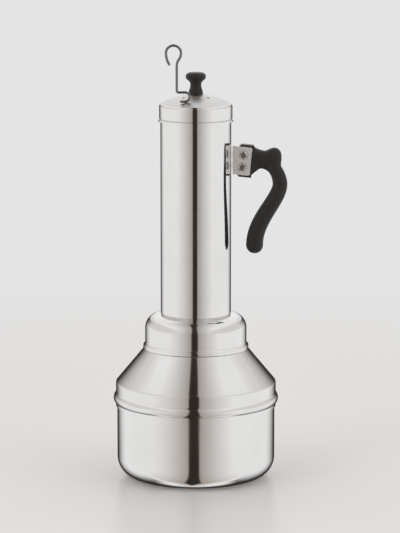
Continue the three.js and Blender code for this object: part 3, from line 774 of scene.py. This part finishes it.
class PUTTU_OT_disc(bpy.types.Operator):
    """Stamps the perforated disc that lies on the tube's lip"""

    bl_idname = "puttu.disc"
    bl_label = "Perforated disc"

    HOLE_STEPS = 20             # sides of a steam hole

    def execute(self, context):
        settings = context.scene.puttu_maker
        size = settings.tube
        foot = LOW["steam_disc"].z
        bm = bmesh.new()
        bmesh.ops.create_circle(
            bm, radius=size.disc_radius, segments=SPIN_STEPS, matrix=Matrix.Translation((0, 0, foot))
        )
        for ring in range(size.steam_rings + 1):
            count = max(6 * ring, 1)
            for i in range(count):
                angle = 2 * math.pi * i / count
                reach = ring * size.steam_pitch
                place = Matrix.Translation((reach * math.cos(angle), reach * math.sin(angle), foot))
                bmesh.ops.create_circle(bm, radius=size.steam_hole, segments=self.HOLE_STEPS, matrix=place)
        bmesh.ops.triangle_fill(bm, edges=bm.edges[:], use_beauty=True, normal=(0, 0, 1))
        plate = raised(bm, HIGH["steam_disc"].z - foot)
        settle(object_of("perforated_disc", plate, inner_steel(settings.finish)), "steam_disc")
        return {"FINISHED"}


class PUTTU_OT_lid(bpy.types.Operator):
    """Spins the domed lid and drills its steam vents"""

    bl_idname = "puttu.lid"
    bl_label = "Domed lid"

    BEAD_ROUND = 0.4 * MM       # rounding over the bead and over the groove
    HEM_ROUND = 0.15 * MM       # rounding at the bottom of the groove
    EDGE_TURN = math.pi / 3     # how far the top edge turns before the dome begins
    EDGE_STEPS = 8              # faces round the top edge
    DOME_STEPS = 24             # faces up the dome

    def execute(self, context):
        settings = context.scene.puttu_maker
        size = settings.lid
        edge_top = size.foot + size.skirt_height
        apex = edge_top + size.dome_height
        bend = (size.radius - size.edge, edge_top - size.edge)
        edge = arc(bend, size.edge, 0, self.EDGE_TURN, self.EDGE_STEPS)
        dome_radius, dome_foot = edge[-1]
        rise = apex - dome_foot
        ball = (dome_radius ** 2 + rise ** 2) / (2 * rise)
        low, high = math.acos(dome_radius / ball), math.acos(size.seat / ball)
        dome = arc((0, apex - ball), ball, low, high, self.DOME_STEPS)
        bead_top = size.foot + size.bead_height
        corners = [
            (size.bead_radius, size.foot, 0),
            (size.bead_radius, bead_top, self.BEAD_ROUND),
            (size.radius - size.hem, bead_top + size.hem, self.HEM_ROUND),
            (size.radius, bead_top + 3 * size.hem, self.BEAD_ROUND),
            *sharp(edge),
            *sharp(dome[1:]),
            (size.hole, dome[-1][1], 0),
        ]
        steel = (*steels(settings.finish), satin_steel(settings.finish))
        piece = object_of("domed_lid", spun(corners, settings.pot.sheet), *steel)
        for i in range(size.vents):
            angle = 2 * math.pi * (i + 0.5) / size.vents
            x, y = size.vent_circle * math.cos(angle), size.vent_circle * math.sin(angle)
            middle = Vector((x, y, edge_top))
            top = middle + Vector((0, 0, size.dome_height + OVERLAP))
            combine(piece, bar(size.vent, middle, top), "DIFFERENCE")
        for face in piece.data.polygons:
            if face.material_index == 0 and face.center.z > dome_foot:
                face.material_index = 2
        settle(piece, "lid")
        return {"FINISHED"}


class PUTTU_OT_knob(bpy.types.Operator):
    """Turns the moulded knob from its foot over its waist and brim to its crown"""

    bl_idname = "puttu.knob"
    bl_label = "Lid knob"

    FOOT_EDGE = 1.2 * MM        # upright edge of the foot
    CROWN_RISE = 0.6 * MM       # rise of the top from its rounding to its middle
    FOOT_ROUND = 0.5 * MM       # rounding under the foot
    PULLS = (3 * MM, 4 * MM, 4.5 * MM, 3.5 * MM, 2.6 * MM)  # upright runs, from the foot to the brim
    CROWN_PULL = Vector((2.2 * MM, 0, -0.3 * MM))           # how the shoulder runs into the top
    STEPS = (14, 16, 12)        # points up the flare, the swell and the shoulder

    def execute(self, context):
        settings = context.scene.puttu_maker
        size = settings.lid
        foot, top = LOW["lid_knob"].z, HIGH["lid_knob"].z
        bush = HIGH["knob_insert"]
        bore, bore_top = bush.x + size.bush_play, bush.z + size.bush_play
        waist = Vector((size.knob_waist, 0, foot + size.knob_waist_height))
        brim = Vector((size.knob_brim, 0, foot + size.knob_brim_height))
        base = Vector((size.knob_foot, 0, foot + self.FOOT_EDGE))
        crown = Vector((size.knob_top, 0, top - self.CROWN_RISE))
        rises = [Vector((0, 0, pull)) for pull in self.PULLS]
        flare = interpolate_bezier(base, base + rises[0], waist - rises[1], waist, self.STEPS[0])
        swell = interpolate_bezier(waist, waist + rises[2], brim - rises[3], brim, self.STEPS[1])
        eased = crown + self.CROWN_PULL
        shoulder = interpolate_bezier(brim, brim + rises[4], eased, crown, self.STEPS[2])
        side = [(point.x, point.z) for point in [*flare, *swell[1:], *shoulder[1:]]]
        corners = [
            (0, bore_top, 0),
            (bore, bore_top, 0),
            (bore, foot, 0),
            (size.knob_foot, foot, self.FOOT_ROUND),
            *sharp(side),
            (0, top, 0),
        ]
        turned = spun(corners, steps=SMALL_SPIN_STEPS * 2)
        settle(object_of("moulded_knob", turned, black_phenolic(settings.finish)), "lid_knob")
        return {"FINISHED"}


def screw(size, material, shank, slot_turn):
    """A slotted screw along Z: its domed head below zero and its shank above."""
    corners = [
        (0, -size.screw_head_height, 0),
        (size.screw_head, -size.screw_head_height, size.screw_dome),
        (size.screw_head, 0, SCREW_RIM),
        (size.screw, 0, 0),
        (size.screw, shank, SCREW_POINT),
        (0, shank, 0),
    ]
    piece = object_of("screw", spun(corners, steps=SMALL_SPIN_STEPS), material)
    groove = bmesh.new()
    deep = size.screw_head_height
    place = Matrix.Translation((0, 0, -deep)) @ Matrix.Rotation(slot_turn, 4, "Z")
    long = 4 * size.screw_head
    bmesh.ops.create_cube(groove, size=1, matrix=place @ Matrix.Diagonal((long, size.slot, deep, 1)))
    combine(piece, groove, "DIFFERENCE")
    return piece


def ring(outer, inner, foot, top, edge):
    """A flat ring about the Z axis with softened edges."""
    corners = [(inner, foot, edge), (outer, foot, edge), (outer, top, edge), (inner, top, edge)]
    return spun(corners, closed=True, steps=SMALL_SPIN_STEPS)


class PUTTU_OT_knob_fastening(bpy.types.Operator):
    """Makes the knob's brass bush, and the washer and screw under the lid"""

    bl_idname = "puttu.knob_fastening"
    bl_label = "Knob's bush, washer and screw"

    BUSH_EDGE = 0.3 * MM        # softening of the bush's edges
    WASHER_EDGE = 0.2 * MM      # softening of the washer's edges
    SLOT_TURN = math.radians(30)

    def execute(self, context):
        settings = context.scene.puttu_maker
        hole = settings.lid.hole
        low, high = LOW["knob_insert"], HIGH["knob_insert"]
        turned = ring(high.x, hole, low.z, high.z, self.BUSH_EDGE)
        settle(object_of("brass_bush", turned, turned_brass(settings.finish)), "knob_insert")
        low, high = LOW["knob_washer"], HIGH["knob_washer"]
        stamped = ring(high.x, hole, low.z, high.z, self.WASHER_EDGE)
        settle(object_of("plain_washer", stamped, plated_steel(settings.finish)), "knob_washer")
        low, high = LOW["knob_screw"], HIGH["knob_screw"]
        seat = low.z + settings.handle.screw_head_height
        bolt = screw(settings.handle, plated_steel(settings.finish), high.z - seat, self.SLOT_TURN)
        bolt.name = "knob_bolt"
        bolt.data.transform(Matrix.Translation((0, 0, seat)))
        settle(bolt, "knob_screw")
        return {"FINISHED"}


def drill(piece, radius, reach):
    """Drills the holes of the handle's two screws through a piece, as far to both sides as the reach."""
    for node in SCREWS:
        middle = (LOW[node] + HIGH[node]) / 2
        half = Vector((0, reach, 0))
        combine(piece, bar(radius, middle - half, middle + half), "DIFFERENCE")


class PUTTU_OT_bracket(bpy.types.Operator):
    """Folds the steel bracket: a back that hugs the tube and two cheeks with rounded corners"""

    bl_idname = "puttu.bracket"
    bl_label = "Handle bracket"

    BACK_STEPS = 12             # faces across the back
    CORNER_STEPS = 8            # faces round a cheek's corner

    def execute(self, context):
        settings = context.scene.puttu_maker
        size = settings.handle
        outer = HIGH["handle_bracket"].y
        inner = outer - size.sheet
        web = size.back_radius + size.sheet
        end = PIVOT.x + size.screw_inset
        half = size.bracket_height / 2
        turn = math.asin(outer / size.back_radius)
        back = arc((0, 0), size.back_radius, turn, -turn, self.BACK_STEPS)
        section = [
            *back, (end, -outer), (end, -inner), (web, -inner), (web, inner), (end, inner), (end, outer),
        ]
        bm = bmesh.new()
        bmesh.ops.contextual_create(bm, geom=[bm.verts.new((x, y, -half)) for x, y in section])
        raised(bm, 2 * half)
        ends = [
            edge for edge in bm.edges
            if all(abs(vert.co.x - end) < NEAR for vert in edge.verts)
            and abs(edge.verts[0].co.z - edge.verts[1].co.z) < NEAR
        ]
        # The web stays upright on the tube, while the cheeks' edges and ends slope.
        slope = Matrix.Rotation(size.tilt, 3, "Y")
        for vert in bm.verts:
            x, y, z = vert.co
            if abs(x - end) < NEAR:
                vert.co = PIVOT + slope @ Vector((size.screw_inset, y, z))
            else:
                vert.co.z = PIVOT.z + z / math.cos(size.tilt) - (x - PIVOT.x) * math.tan(size.tilt)
        bmesh.ops.bevel(
            bm, geom=ends, offset=size.cheek_corner, affect="EDGES", segments=self.CORNER_STEPS,
            profile=0.5, material=-1,
        )
        piece = object_of("folded_bracket", bm, pressed_steel(settings.finish))
        drill(piece, settings.lid.hole, 2 * outer)
        soften(piece, size.edge)
        settle(piece, "handle_bracket")
        return {"FINISHED"}


class PUTTU_OT_handle(bpy.types.Operator):
    """Sweeps the moulded handle from its flared root over the thumb rest and down to its tip"""

    bl_idname = "puttu.handle"
    bl_label = "Handle"

    SQUARENESS = 2.6            # section of the grip: 2 is an ellipse, more is squarer
    SIDES = 40                  # faces round the grip
    STEPS = 44                  # rings along each half of the grip
    TIP_STEPS = 10              # rings of the rounded tip
    PULLS = (0.55, 0.5, 0.26, 0.43)     # how far the middle line's curves run straight at their ends
    SLIM = (0.2, 0.62)          # stretch of the bend where the neck slims to the waist
    THUMB_TRIES = 500           # steps in which each ring's reach to the thumb rest is found
    EASE = (1, 2, 3, 2, 1)      # weights that ease the thumb rest into its neighbouring rings

    def path(self, size):
        """Middles of the rings, from the root over the bend and down to the tip."""
        out, up = Vector((1, 0, 0)), Vector((0, 0, 1))
        root = PIVOT + Matrix.Rotation(size.tilt, 3, "Y") @ out * (size.screw_inset + size.root_gap)
        bend = Vector((HIGH["handle"].x - size.grip / 2, 0, PIVOT.z - size.bend_drop))
        tip = Vector((PIVOT.x + size.tip_reach, 0, LOW["handle"].z + size.tip / 2))
        root_pull, neck_pull, bend_pull, tip_pull = self.PULLS
        pulled = Vector((root.x + root_pull * (bend.x - root.x), 0, PIVOT.z + size.neck_rise))
        over = interpolate_bezier(root, pulled, bend + up * neck_pull * size.bend_drop, bend, self.STEPS + 1)
        down = interpolate_bezier(
            bend, bend - up * bend_pull * (bend.z - tip.z),
            tip + up * tip_pull * (bend.z - tip.z), tip, self.STEPS + 1,
        )
        return [*over, *down[1:]]

    def thickness(self, size, i, reach):
        """Thickness of a ring: flared at the root, slim at the waist, and fuller towards the tip."""
        if i > self.STEPS:
            return size.grip + (size.tip - size.grip) * (i / self.STEPS - 1)
        start, end = self.SLIM
        slim = smooth((i / self.STEPS - start) / (end - start))
        full = smooth((i / self.STEPS - end) / (1 - end))
        root = size.bracket_height + 2 * size.tongue_show
        flare = max(1 - reach / size.neck_reach, 0) ** 2
        slimmed = size.neck + (size.waist - size.neck) * slim + (size.grip - size.waist) * full
        return slimmed + (root - size.neck) * flare

    def bulge(self, size, middle, across, thickness):
        """How far the thumb rest, as square as the grip, stands out of a ring."""
        thumb = PIVOT + Vector((size.thumb_reach, 0, size.thumb_rise))
        reach = 0
        for i in range(self.THUMB_TRIES):
            tried = thickness / 2 + size.thumb_height * i / self.THUMB_TRIES
            offset = middle + across * tried - thumb
            aside = abs(2 * offset.x / size.thumb_width) ** self.SQUARENESS
            if aside + abs(2 * offset.z / size.thumb_height) ** self.SQUARENESS <= 1:
                reach = tried - thickness / 2
        return reach

    def rings(self, size):
        """Places of the section, from the root to the tip."""
        path = self.path(size)
        pairs = zip(path[1:] + path[-1:], path[:1] + path[:-1])
        ways = [(ahead - behind).normalized() for ahead, behind in pairs]
        root_way = Matrix.Rotation(size.tilt, 3, "Y") @ Vector((1, 0, 0))
        for i in range(self.STEPS + 1):
            ways[i] = root_way.lerp(ways[i], smooth((path[i].x - path[0].x) / size.neck_reach)).normalized()
        ways[-1] = Vector((0, 0, -1))
        sides = [Vector((-along.z, 0, along.x)) for along in ways]
        widths = [self.thickness(size, i, middle.x - path[0].x) for i, middle in enumerate(path)]
        bulges = [self.bulge(size, *ring) for ring in zip(path, sides, widths)]
        half = len(self.EASE) // 2
        padded = [0] * half + bulges + [0] * half
        for i, (middle, along, across, width) in enumerate(zip(path, ways, sides, widths)):
            eased = sum(weight * padded[i + j] for j, weight in enumerate(self.EASE)) / sum(self.EASE)
            yield place_ring(middle + across * eased / 2, along, (width + eased) / 2, size.depth / 2)
        for i in range(1, self.TIP_STEPS):
            turn = math.pi / 2 * i / self.TIP_STEPS
            middle = path[-1] - Vector((0, 0, math.sin(turn) * size.tip / 2))
            share = math.cos(turn) / 2
            yield place_ring(middle, ways[-1], size.tip * share, size.depth * share)

    def execute(self, context):
        settings = context.scene.puttu_maker
        size = settings.handle
        section = bmesh.new()
        bmesh.ops.create_circle(section, cap_ends=True, radius=1, segments=self.SIDES)
        for vert in section.verts:
            vert.co = [math.copysign(abs(part) ** (2 / self.SQUARENESS), part) for part in vert.co]
        grip = swept(section, list(self.rings(size)))
        piece = object_of("moulded_handle", grip, black_phenolic(settings.finish))
        combine(piece, self.tongue(size), "UNION", crossing=True)
        drill(piece, settings.lid.hole, size.tongue)
        settle(piece, "handle")
        return {"FINISHED"}

    def tongue(self, size):
        """The flat tongue between the bracket's cheeks."""
        half = size.bracket_height / 2 + size.tongue_show
        back, front = -size.tongue_back, size.screw_inset + 2 * size.root_gap + OVERLAP
        outline = [
            (back, size.tongue_slope - half), (back + size.tongue_slope, -half), (front, -half),
            (front, half), (back + size.tongue_slope, half), (back, half - size.tongue_slope),
        ]
        bm = bmesh.new()
        bmesh.ops.contextual_create(bm, geom=[bm.verts.new((x, z, -size.tongue / 2)) for x, z in outline])
        raised(bm, size.tongue)
        upright = Matrix.Rotation(math.pi / 2, 4, "X")
        place = Matrix.Translation(PIVOT) @ Matrix.Rotation(size.tilt, 4, "Y") @ upright
        bmesh.ops.transform(bm, matrix=place, verts=bm.verts[:])
        return bm


class PUTTU_OT_handle_fasteners(bpy.types.Operator):
    """Makes the two screws that hold the handle and the nuts on their far ends"""

    bl_idname = "puttu.handle_fasteners"
    bl_label = "Handle's screws and nuts"

    NUT_EDGE = 0.3 * MM         # softening of a nut's edges
    SLOT_TURNS = {"upper": math.radians(24), "lower": math.radians(-38)}

    def execute(self, context):
        settings = context.scene.puttu_maker
        size = settings.handle
        lying = Matrix.Rotation(-math.pi / 2, 4, "X")
        for level, slot_turn in self.SLOT_TURNS.items():
            node = f"handle_screw_{level}"
            low, high = LOW[node], HIGH[node]
            seat = Vector(((low.x + high.x) / 2, low.y + size.screw_head_height, (low.z + high.z) / 2))
            bolt = screw(size, plated_steel(settings.finish), high.y - seat.y, slot_turn)
            bolt.name = f"handle_bolt_{level}"
            bolt.data.transform(Matrix.Translation(seat) @ lying)
            settle(bolt, node)
            node = f"handle_nut_{level}"
            low, high = LOW[node], HIGH[node]
            bm = bmesh.new()
            bmesh.ops.create_circle(bm, radius=size.nut / math.cos(math.pi / 6), segments=6)
            sixth = Matrix.Rotation(math.pi / 6, 3, "Z")
            bmesh.ops.rotate(bm, cent=(0, 0, 0), matrix=sixth, verts=bm.verts[:])
            bmesh.ops.create_circle(bm, radius=settings.lid.hole, segments=SMALL_SPIN_STEPS)
            bmesh.ops.triangle_fill(bm, edges=bm.edges[:], use_beauty=True, normal=(0, 0, 1))
            nut = object_of(f"hexagon_nut_{level}", raised(bm, high.y - low.y), plated_steel(settings.finish))
            nut.data.transform(Matrix.Translation((seat.x, low.y, seat.z)) @ lying)
            soften(nut, self.NUT_EDGE)
            settle(nut, node)
        return {"FINISHED"}


class PUTTU_OT_stick(bpy.types.Operator):
    """Bends the wire stick: hooked foot, shaft and open eye"""

    bl_idname = "puttu.stick"
    bl_label = "Wire stick"

    SIDES = 24                  # faces round the wire
    STEPS = 22                  # points on each bend
    ROUND_ENDS = (0.35, 0.65, 0.88, 1)      # rings that round the wire's ends, as shares of its radius

    def path(self, size):
        """Points along the wire, from the tip of the hook to the open end of the eye."""
        foot = LOW["stick"].z + size.wire
        half = size.hook_height / 2
        bend_height = size.hook_height + size.bend
        hook = arc((size.hook_run, half), half, -math.pi / 2, math.pi / 2, self.STEPS)
        bend = arc((size.bend, bend_height), size.bend, -math.pi / 2, -math.pi, self.STEPS // 2)
        eye = arc((size.eye_side, size.eye_height), size.eye, 0, math.pi, self.STEPS * 2)
        rising = interpolate_bezier(
            (0, size.shaft_height), (0, size.shaft_height + size.pull),
            (eye[0][0], size.eye_height - size.pull), eye[0], self.STEPS,
        )
        pulled = Vector((eye[-1][0], size.eye_height - size.pull))
        start, end = Vector(eye[-1]), Vector((size.end_side, size.end_height))
        falling = interpolate_bezier(
            start, start.lerp(pulled, 2 / 3), end.lerp(pulled, 2 / 3), end, self.STEPS
        )
        flat = [(size.hook_tip, 0), *hook, *bend, *rising, *eye[1:], *falling[1:]]
        middle = (LOW["stick"].y + HIGH["stick"].y) / 2
        return [Vector((size.shaft + point[0], middle, foot + point[1])) for point in flat]

    def execute(self, context):
        settings = context.scene.puttu_maker
        size = settings.stick
        path = self.path(size)
        rings = []
        for i, middle in enumerate(path):
            along = (path[min(i + 1, len(path) - 1)] - path[max(i - 1, 0)]).normalized()
            rings.append((middle, along, size.wire))
        first, last = rings[0], rings[-1]
        ends = [
            (size.wire * share, size.wire * math.sqrt(1 - share ** 2) / 2) for share in self.ROUND_ENDS[:-1]
        ]
        opening = [(first[0] - first[1] * reach, first[1], radius) for radius, reach in ends]
        closing = [(last[0] + last[1] * reach, last[1], radius) for radius, reach in reversed(ends)]
        places = [place_ring(*ring, ring[2]) for ring in [*opening, *rings, *closing]]
        section = bmesh.new()
        bmesh.ops.create_circle(section, cap_ends=True, radius=1, segments=self.SIDES)
        piece = object_of("wire_stick", swept(section, places), drawn_wire(settings.finish))
        settle(piece, "stick")
        return {"FINISHED"}


# Stage


def floor_material(stage):
    """Board with a coat of pale satin paint.

    It gives a soft sheen with a blurred image of what stands on it. Far off it turns into the plain
    background, and reflections look past it to the tent's cloth.
    """
    material = new_material("satin_painted_board")
    tree = material.node_tree
    ray = add_node(tree, "LightPath").outputs
    place = add_node(tree, "TexCoord").outputs["Object"]
    radius = add_node(tree, "VectorMath", {0: place}, operation="LENGTH").outputs["Value"]
    far = add_node(
        tree, "MapRange", {"Value": radius, "From Min": FLOOR_FADE[0], "From Max": FLOOR_FADE[1]},
        interpolation_type="SMOOTHSTEP",
    )
    board = add_node(
        tree, "BsdfPrincipled",
        {"Base Color": (*stage.floor, 1), "Roughness": 0.32, "Specular IOR Level": 0.3},
    )
    plain = add_node(tree, "Emission", {"Color": (*stage.background, 1)})
    clear = add_node(tree, "BsdfTransparent")
    seen = add_node(tree, "Math", {0: ray["Is Camera Ray"], 1: far}, operation="MULTIPLY")
    shown = add_node(tree, "MixShader", {0: seen, 1: board, 2: plain})
    whole = add_node(tree, "MixShader", {0: ray["Is Glossy Ray"], 1: shown, 2: clear})
    add_node(tree, "OutputMaterial", {"Surface": whole})
    return material


def light_tent(stage):
    """White cloth all round, with a dark gap towards the viewer and a dark card low behind the object."""
    world = bpy.data.worlds.new("light_tent")
    world.use_nodes = True
    tree = world.node_tree
    tree.nodes.clear()
    ray = add_node(tree, "LightPath").outputs
    generated = add_node(tree, "TexCoord").outputs["Generated"]
    way = add_node(tree, "SeparateXYZ", {0: generated}).outputs
    side, back, up = way["X"], way["Y"], way["Z"]
    aside = add_node(tree, "Math", {0: side}, operation="ABSOLUTE")
    eased = {"interpolation_type": "SMOOTHSTEP"}
    # Values that follow one direction, from a first to a last value between two bounds
    ramps = [
        add_node(
            tree, "MapRange",
            {"Value": value, "From Min": start, "From Max": end, "To Min": first, "To Max": last}, **eased,
        )
        for value, start, end, first, last in (
            (up, 0, 0.9, 1, 1.5),       # narrows the gap overhead
            (up, -0.6, -0.3, 5, 0),     # narrows the gap underfoot
            (back, 0.1, 0.35, 0, 1),    # ends the gap towards the back
            (back, 0, 0.2, 1, 0),       # ends the card towards the front
            (aside, 0.3, 0.85, 0, 1),   # ends the card at its sides
            (up, -0.95, -0.8, 1, 0),    # ends the card underfoot
            (up, 0, 0.2, 1, 0),         # ends the card's shade at the horizon
        )
    ]
    overhead, low, past, front, past_card, under, horizon = ramps
    # Underfoot the gap runs to a point behind.
    point = add_node(
        tree, "MapRange", {"Value": back, "From Min": -0.15, "From Max": 0.3, "To Max": low}, **eased
    )
    narrow = add_node(tree, "Math", {0: overhead, 1: point}, operation="ADD")
    # The gap stands a little left of the camera.
    moved = add_node(tree, "Math", {0: side, 1: 0.045}, operation="ADD")
    off = add_node(tree, "Math", {0: moved}, operation="ABSOLUTE")
    reach = add_node(tree, "Math", {0: off, 1: narrow}, operation="MULTIPLY")
    beside = add_node(tree, "MapRange", {"Value": reach, "From Min": 0.108, "From Max": 0.15}, **eased)
    gap = add_node(tree, "Math", {0: beside, 1: past}, operation="MAXIMUM")
    fading = add_node(tree, "MapRange", {"Value": reach, "From Min": 0.1, "From Max": 0.85})
    ahead = add_node(tree, "Math", {0: fading, 1: past}, operation="MAXIMUM")
    # The card stands low behind the object, and its sides rise outwards.
    slope = add_node(tree, "Math", {0: aside, 1: -0.6, 2: up}, operation="MULTIPLY_ADD")
    over = add_node(tree, "MapRange", {"Value": slope, "From Min": -0.085, "From Max": 0.01}, **eased)
    card = over
    for edge in (past_card, under, front):
        card = add_node(tree, "Math", {0: card, 1: edge}, operation="MAXIMUM")
    # The cloth beside the card is in its shade, from the horizon up to a line that rises outwards.
    clearing = add_node(
        tree, "MapRange", {"Value": slope, "From Min": 0.05, "From Max": 0.22, "To Min": 0.68}
    )
    behind = add_node(tree, "Math", {0: clearing, 1: horizon}, operation="MAXIMUM")
    shade = add_node(tree, "Math", {0: ahead, 1: behind}, operation="MINIMUM")
    lit = add_node(tree, "Math", {0: gap, 1: card}, operation="MINIMUM")
    cloth = add_node(tree, "Mix", {0: shade, 6: (*stage.shade, 1), 7: (*stage.cloth, 1)}, data_type="RGBA")
    dark = add_node(tree, "Mix", {0: front, 6: (*stage.card, 1), 7: (*stage.gap, 1)}, data_type="RGBA")
    tent = add_node(tree, "Mix", {0: lit, 6: dark.outputs[2], 7: cloth.outputs[2]}, data_type="RGBA")
    lighting = add_node(tree, "Background", {"Color": tent.outputs[2], "Strength": stage.strength})
    backdrop = add_node(tree, "Background", {"Color": (*stage.background, 1)})
    whole = add_node(tree, "MixShader", {0: ray["Is Camera Ray"], 1: lighting, 2: backdrop})
    add_node(tree, "OutputWorld", {"Surface": whole})
    return world


class PUTTU_OT_stage(bpy.types.Operator):
    """Sets the pale floor, the soft studio light and the camera"""

    bl_idname = "puttu.stage"
    bl_label = "Floor, light and camera"

    FLOOR_RADIUS = 14           # metres, past the edge of any view
    FLOOR_DROP = 0.2 * MM       # keeps the floor just under the pot's base
    LAMPS = (                   # name, place, size across and power
        ("key_lamp", (-1.5, -1.3, 2.0), 1.4, 10),
        ("fill_lamp", (1.7, -0.9, 1.5), 1.2, 4),
    )

    def execute(self, context):
        scene = context.scene
        stage = scene.puttu_maker.stage
        scene.view_settings.view_transform = "Standard"
        bm = bmesh.new()
        bmesh.ops.create_circle(
            bm, cap_ends=True, radius=self.FLOOR_RADIUS, segments=SMALL_SPIN_STEPS,
            matrix=Matrix.Translation((0, 0, -self.FLOOR_DROP)),
        )
        object_of("floor", bm, floor_material(stage))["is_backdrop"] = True
        scene.world = light_tent(stage)
        target = Vector((0, 0, stage.aim))
        for name, place, across, power in self.LAMPS:
            lamp = bpy.data.lights.new(name, "AREA")
            lamp.size = across
            lamp.energy = power
            holder = bpy.data.objects.new(name, lamp)
            holder.location = place
            holder.rotation_euler = (target - Vector(place)).to_track_quat("-Z", "Y").to_euler()
            holder.visible_glossy = False
            scene.collection.objects.link(holder)
        camera = bpy.data.cameras.new("camera")
        camera.lens = stage.lens
        holder = bpy.data.objects.new("camera", camera)
        middle = (CAD_BOX[0].x + CAD_BOX[1].x) / 2
        target = Vector((middle, 0, stage.aim))
        back = Vector((0, -math.cos(stage.elevation), math.sin(stage.elevation)))
        holder.location = target + back * stage.distance
        holder.rotation_euler = (-back).to_track_quat("-Z", "Y").to_euler()
        scene.collection.objects.link(holder)
        scene.camera = holder
        return {"FINISHED"}


class PUTTU_PT_panel(bpy.types.Panel):
    """Lists the steps that build the puttu maker, and its sizes and colours"""

    bl_idname = "PUTTU_PT_panel"
    bl_label = "Puttu maker"
    bl_space_type = "VIEW_3D"
    bl_region_type = "UI"
    bl_category = "Puttu maker"

    def draw(self, context):
        for step in STEPS:
            self.layout.operator(step.bl_idname)
        settings = context.scene.puttu_maker
        for group in GROUPS:
            column = self.layout.box().column()
            column.label(text=group.capitalize())
            values = getattr(settings, group)
            for name in values.bl_rna.properties.keys():
                if name not in ("rna_type", "name"):
                    column.prop(values, name)


GROUPS = ("pot", "tube", "lid", "handle", "stick", "finish", "stage")
STEPS = (
    PUTTU_OT_pot, PUTTU_OT_cover, PUTTU_OT_collar, PUTTU_OT_tube, PUTTU_OT_disc, PUTTU_OT_lid, PUTTU_OT_knob,
    PUTTU_OT_knob_fastening, PUTTU_OT_bracket, PUTTU_OT_handle, PUTTU_OT_handle_fasteners, PUTTU_OT_stick,
    PUTTU_OT_stage,
)
CLASSES = (
    PotSizes, TubeSizes, LidSizes, HandleSizes, StickSizes, Finishes, StageSettings, PuttuMaker,
    *STEPS, PUTTU_PT_panel,
)


def register():
    """Registers the classes and hangs the settings on the scene."""
    for kind in CLASSES:
        bpy.utils.register_class(kind)
    bpy.types.Scene.puttu_maker = bpy.props.PointerProperty(type=PuttuMaker)


def unregister():
    """Removes the settings and the classes."""
    del bpy.types.Scene.puttu_maker
    for kind in reversed(CLASSES):
        bpy.utils.unregister_class(kind)


def main():
    """Builds every piece and the stage."""
    register()
    for step in (
        bpy.ops.puttu.pot, bpy.ops.puttu.cover, bpy.ops.puttu.collar, bpy.ops.puttu.tube, bpy.ops.puttu.disc,
        bpy.ops.puttu.lid, bpy.ops.puttu.knob, bpy.ops.puttu.knob_fastening, bpy.ops.puttu.bracket,
        bpy.ops.puttu.handle, bpy.ops.puttu.handle_fasteners, bpy.ops.puttu.stick, bpy.ops.puttu.stage,
    ):
        step()
    boxes = {"cad": CAD_BOX, "visual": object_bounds()}
    {name: [list(corner) for corner in box] for name, box in boxes.items()}


if __name__ == "__main__":
    main()
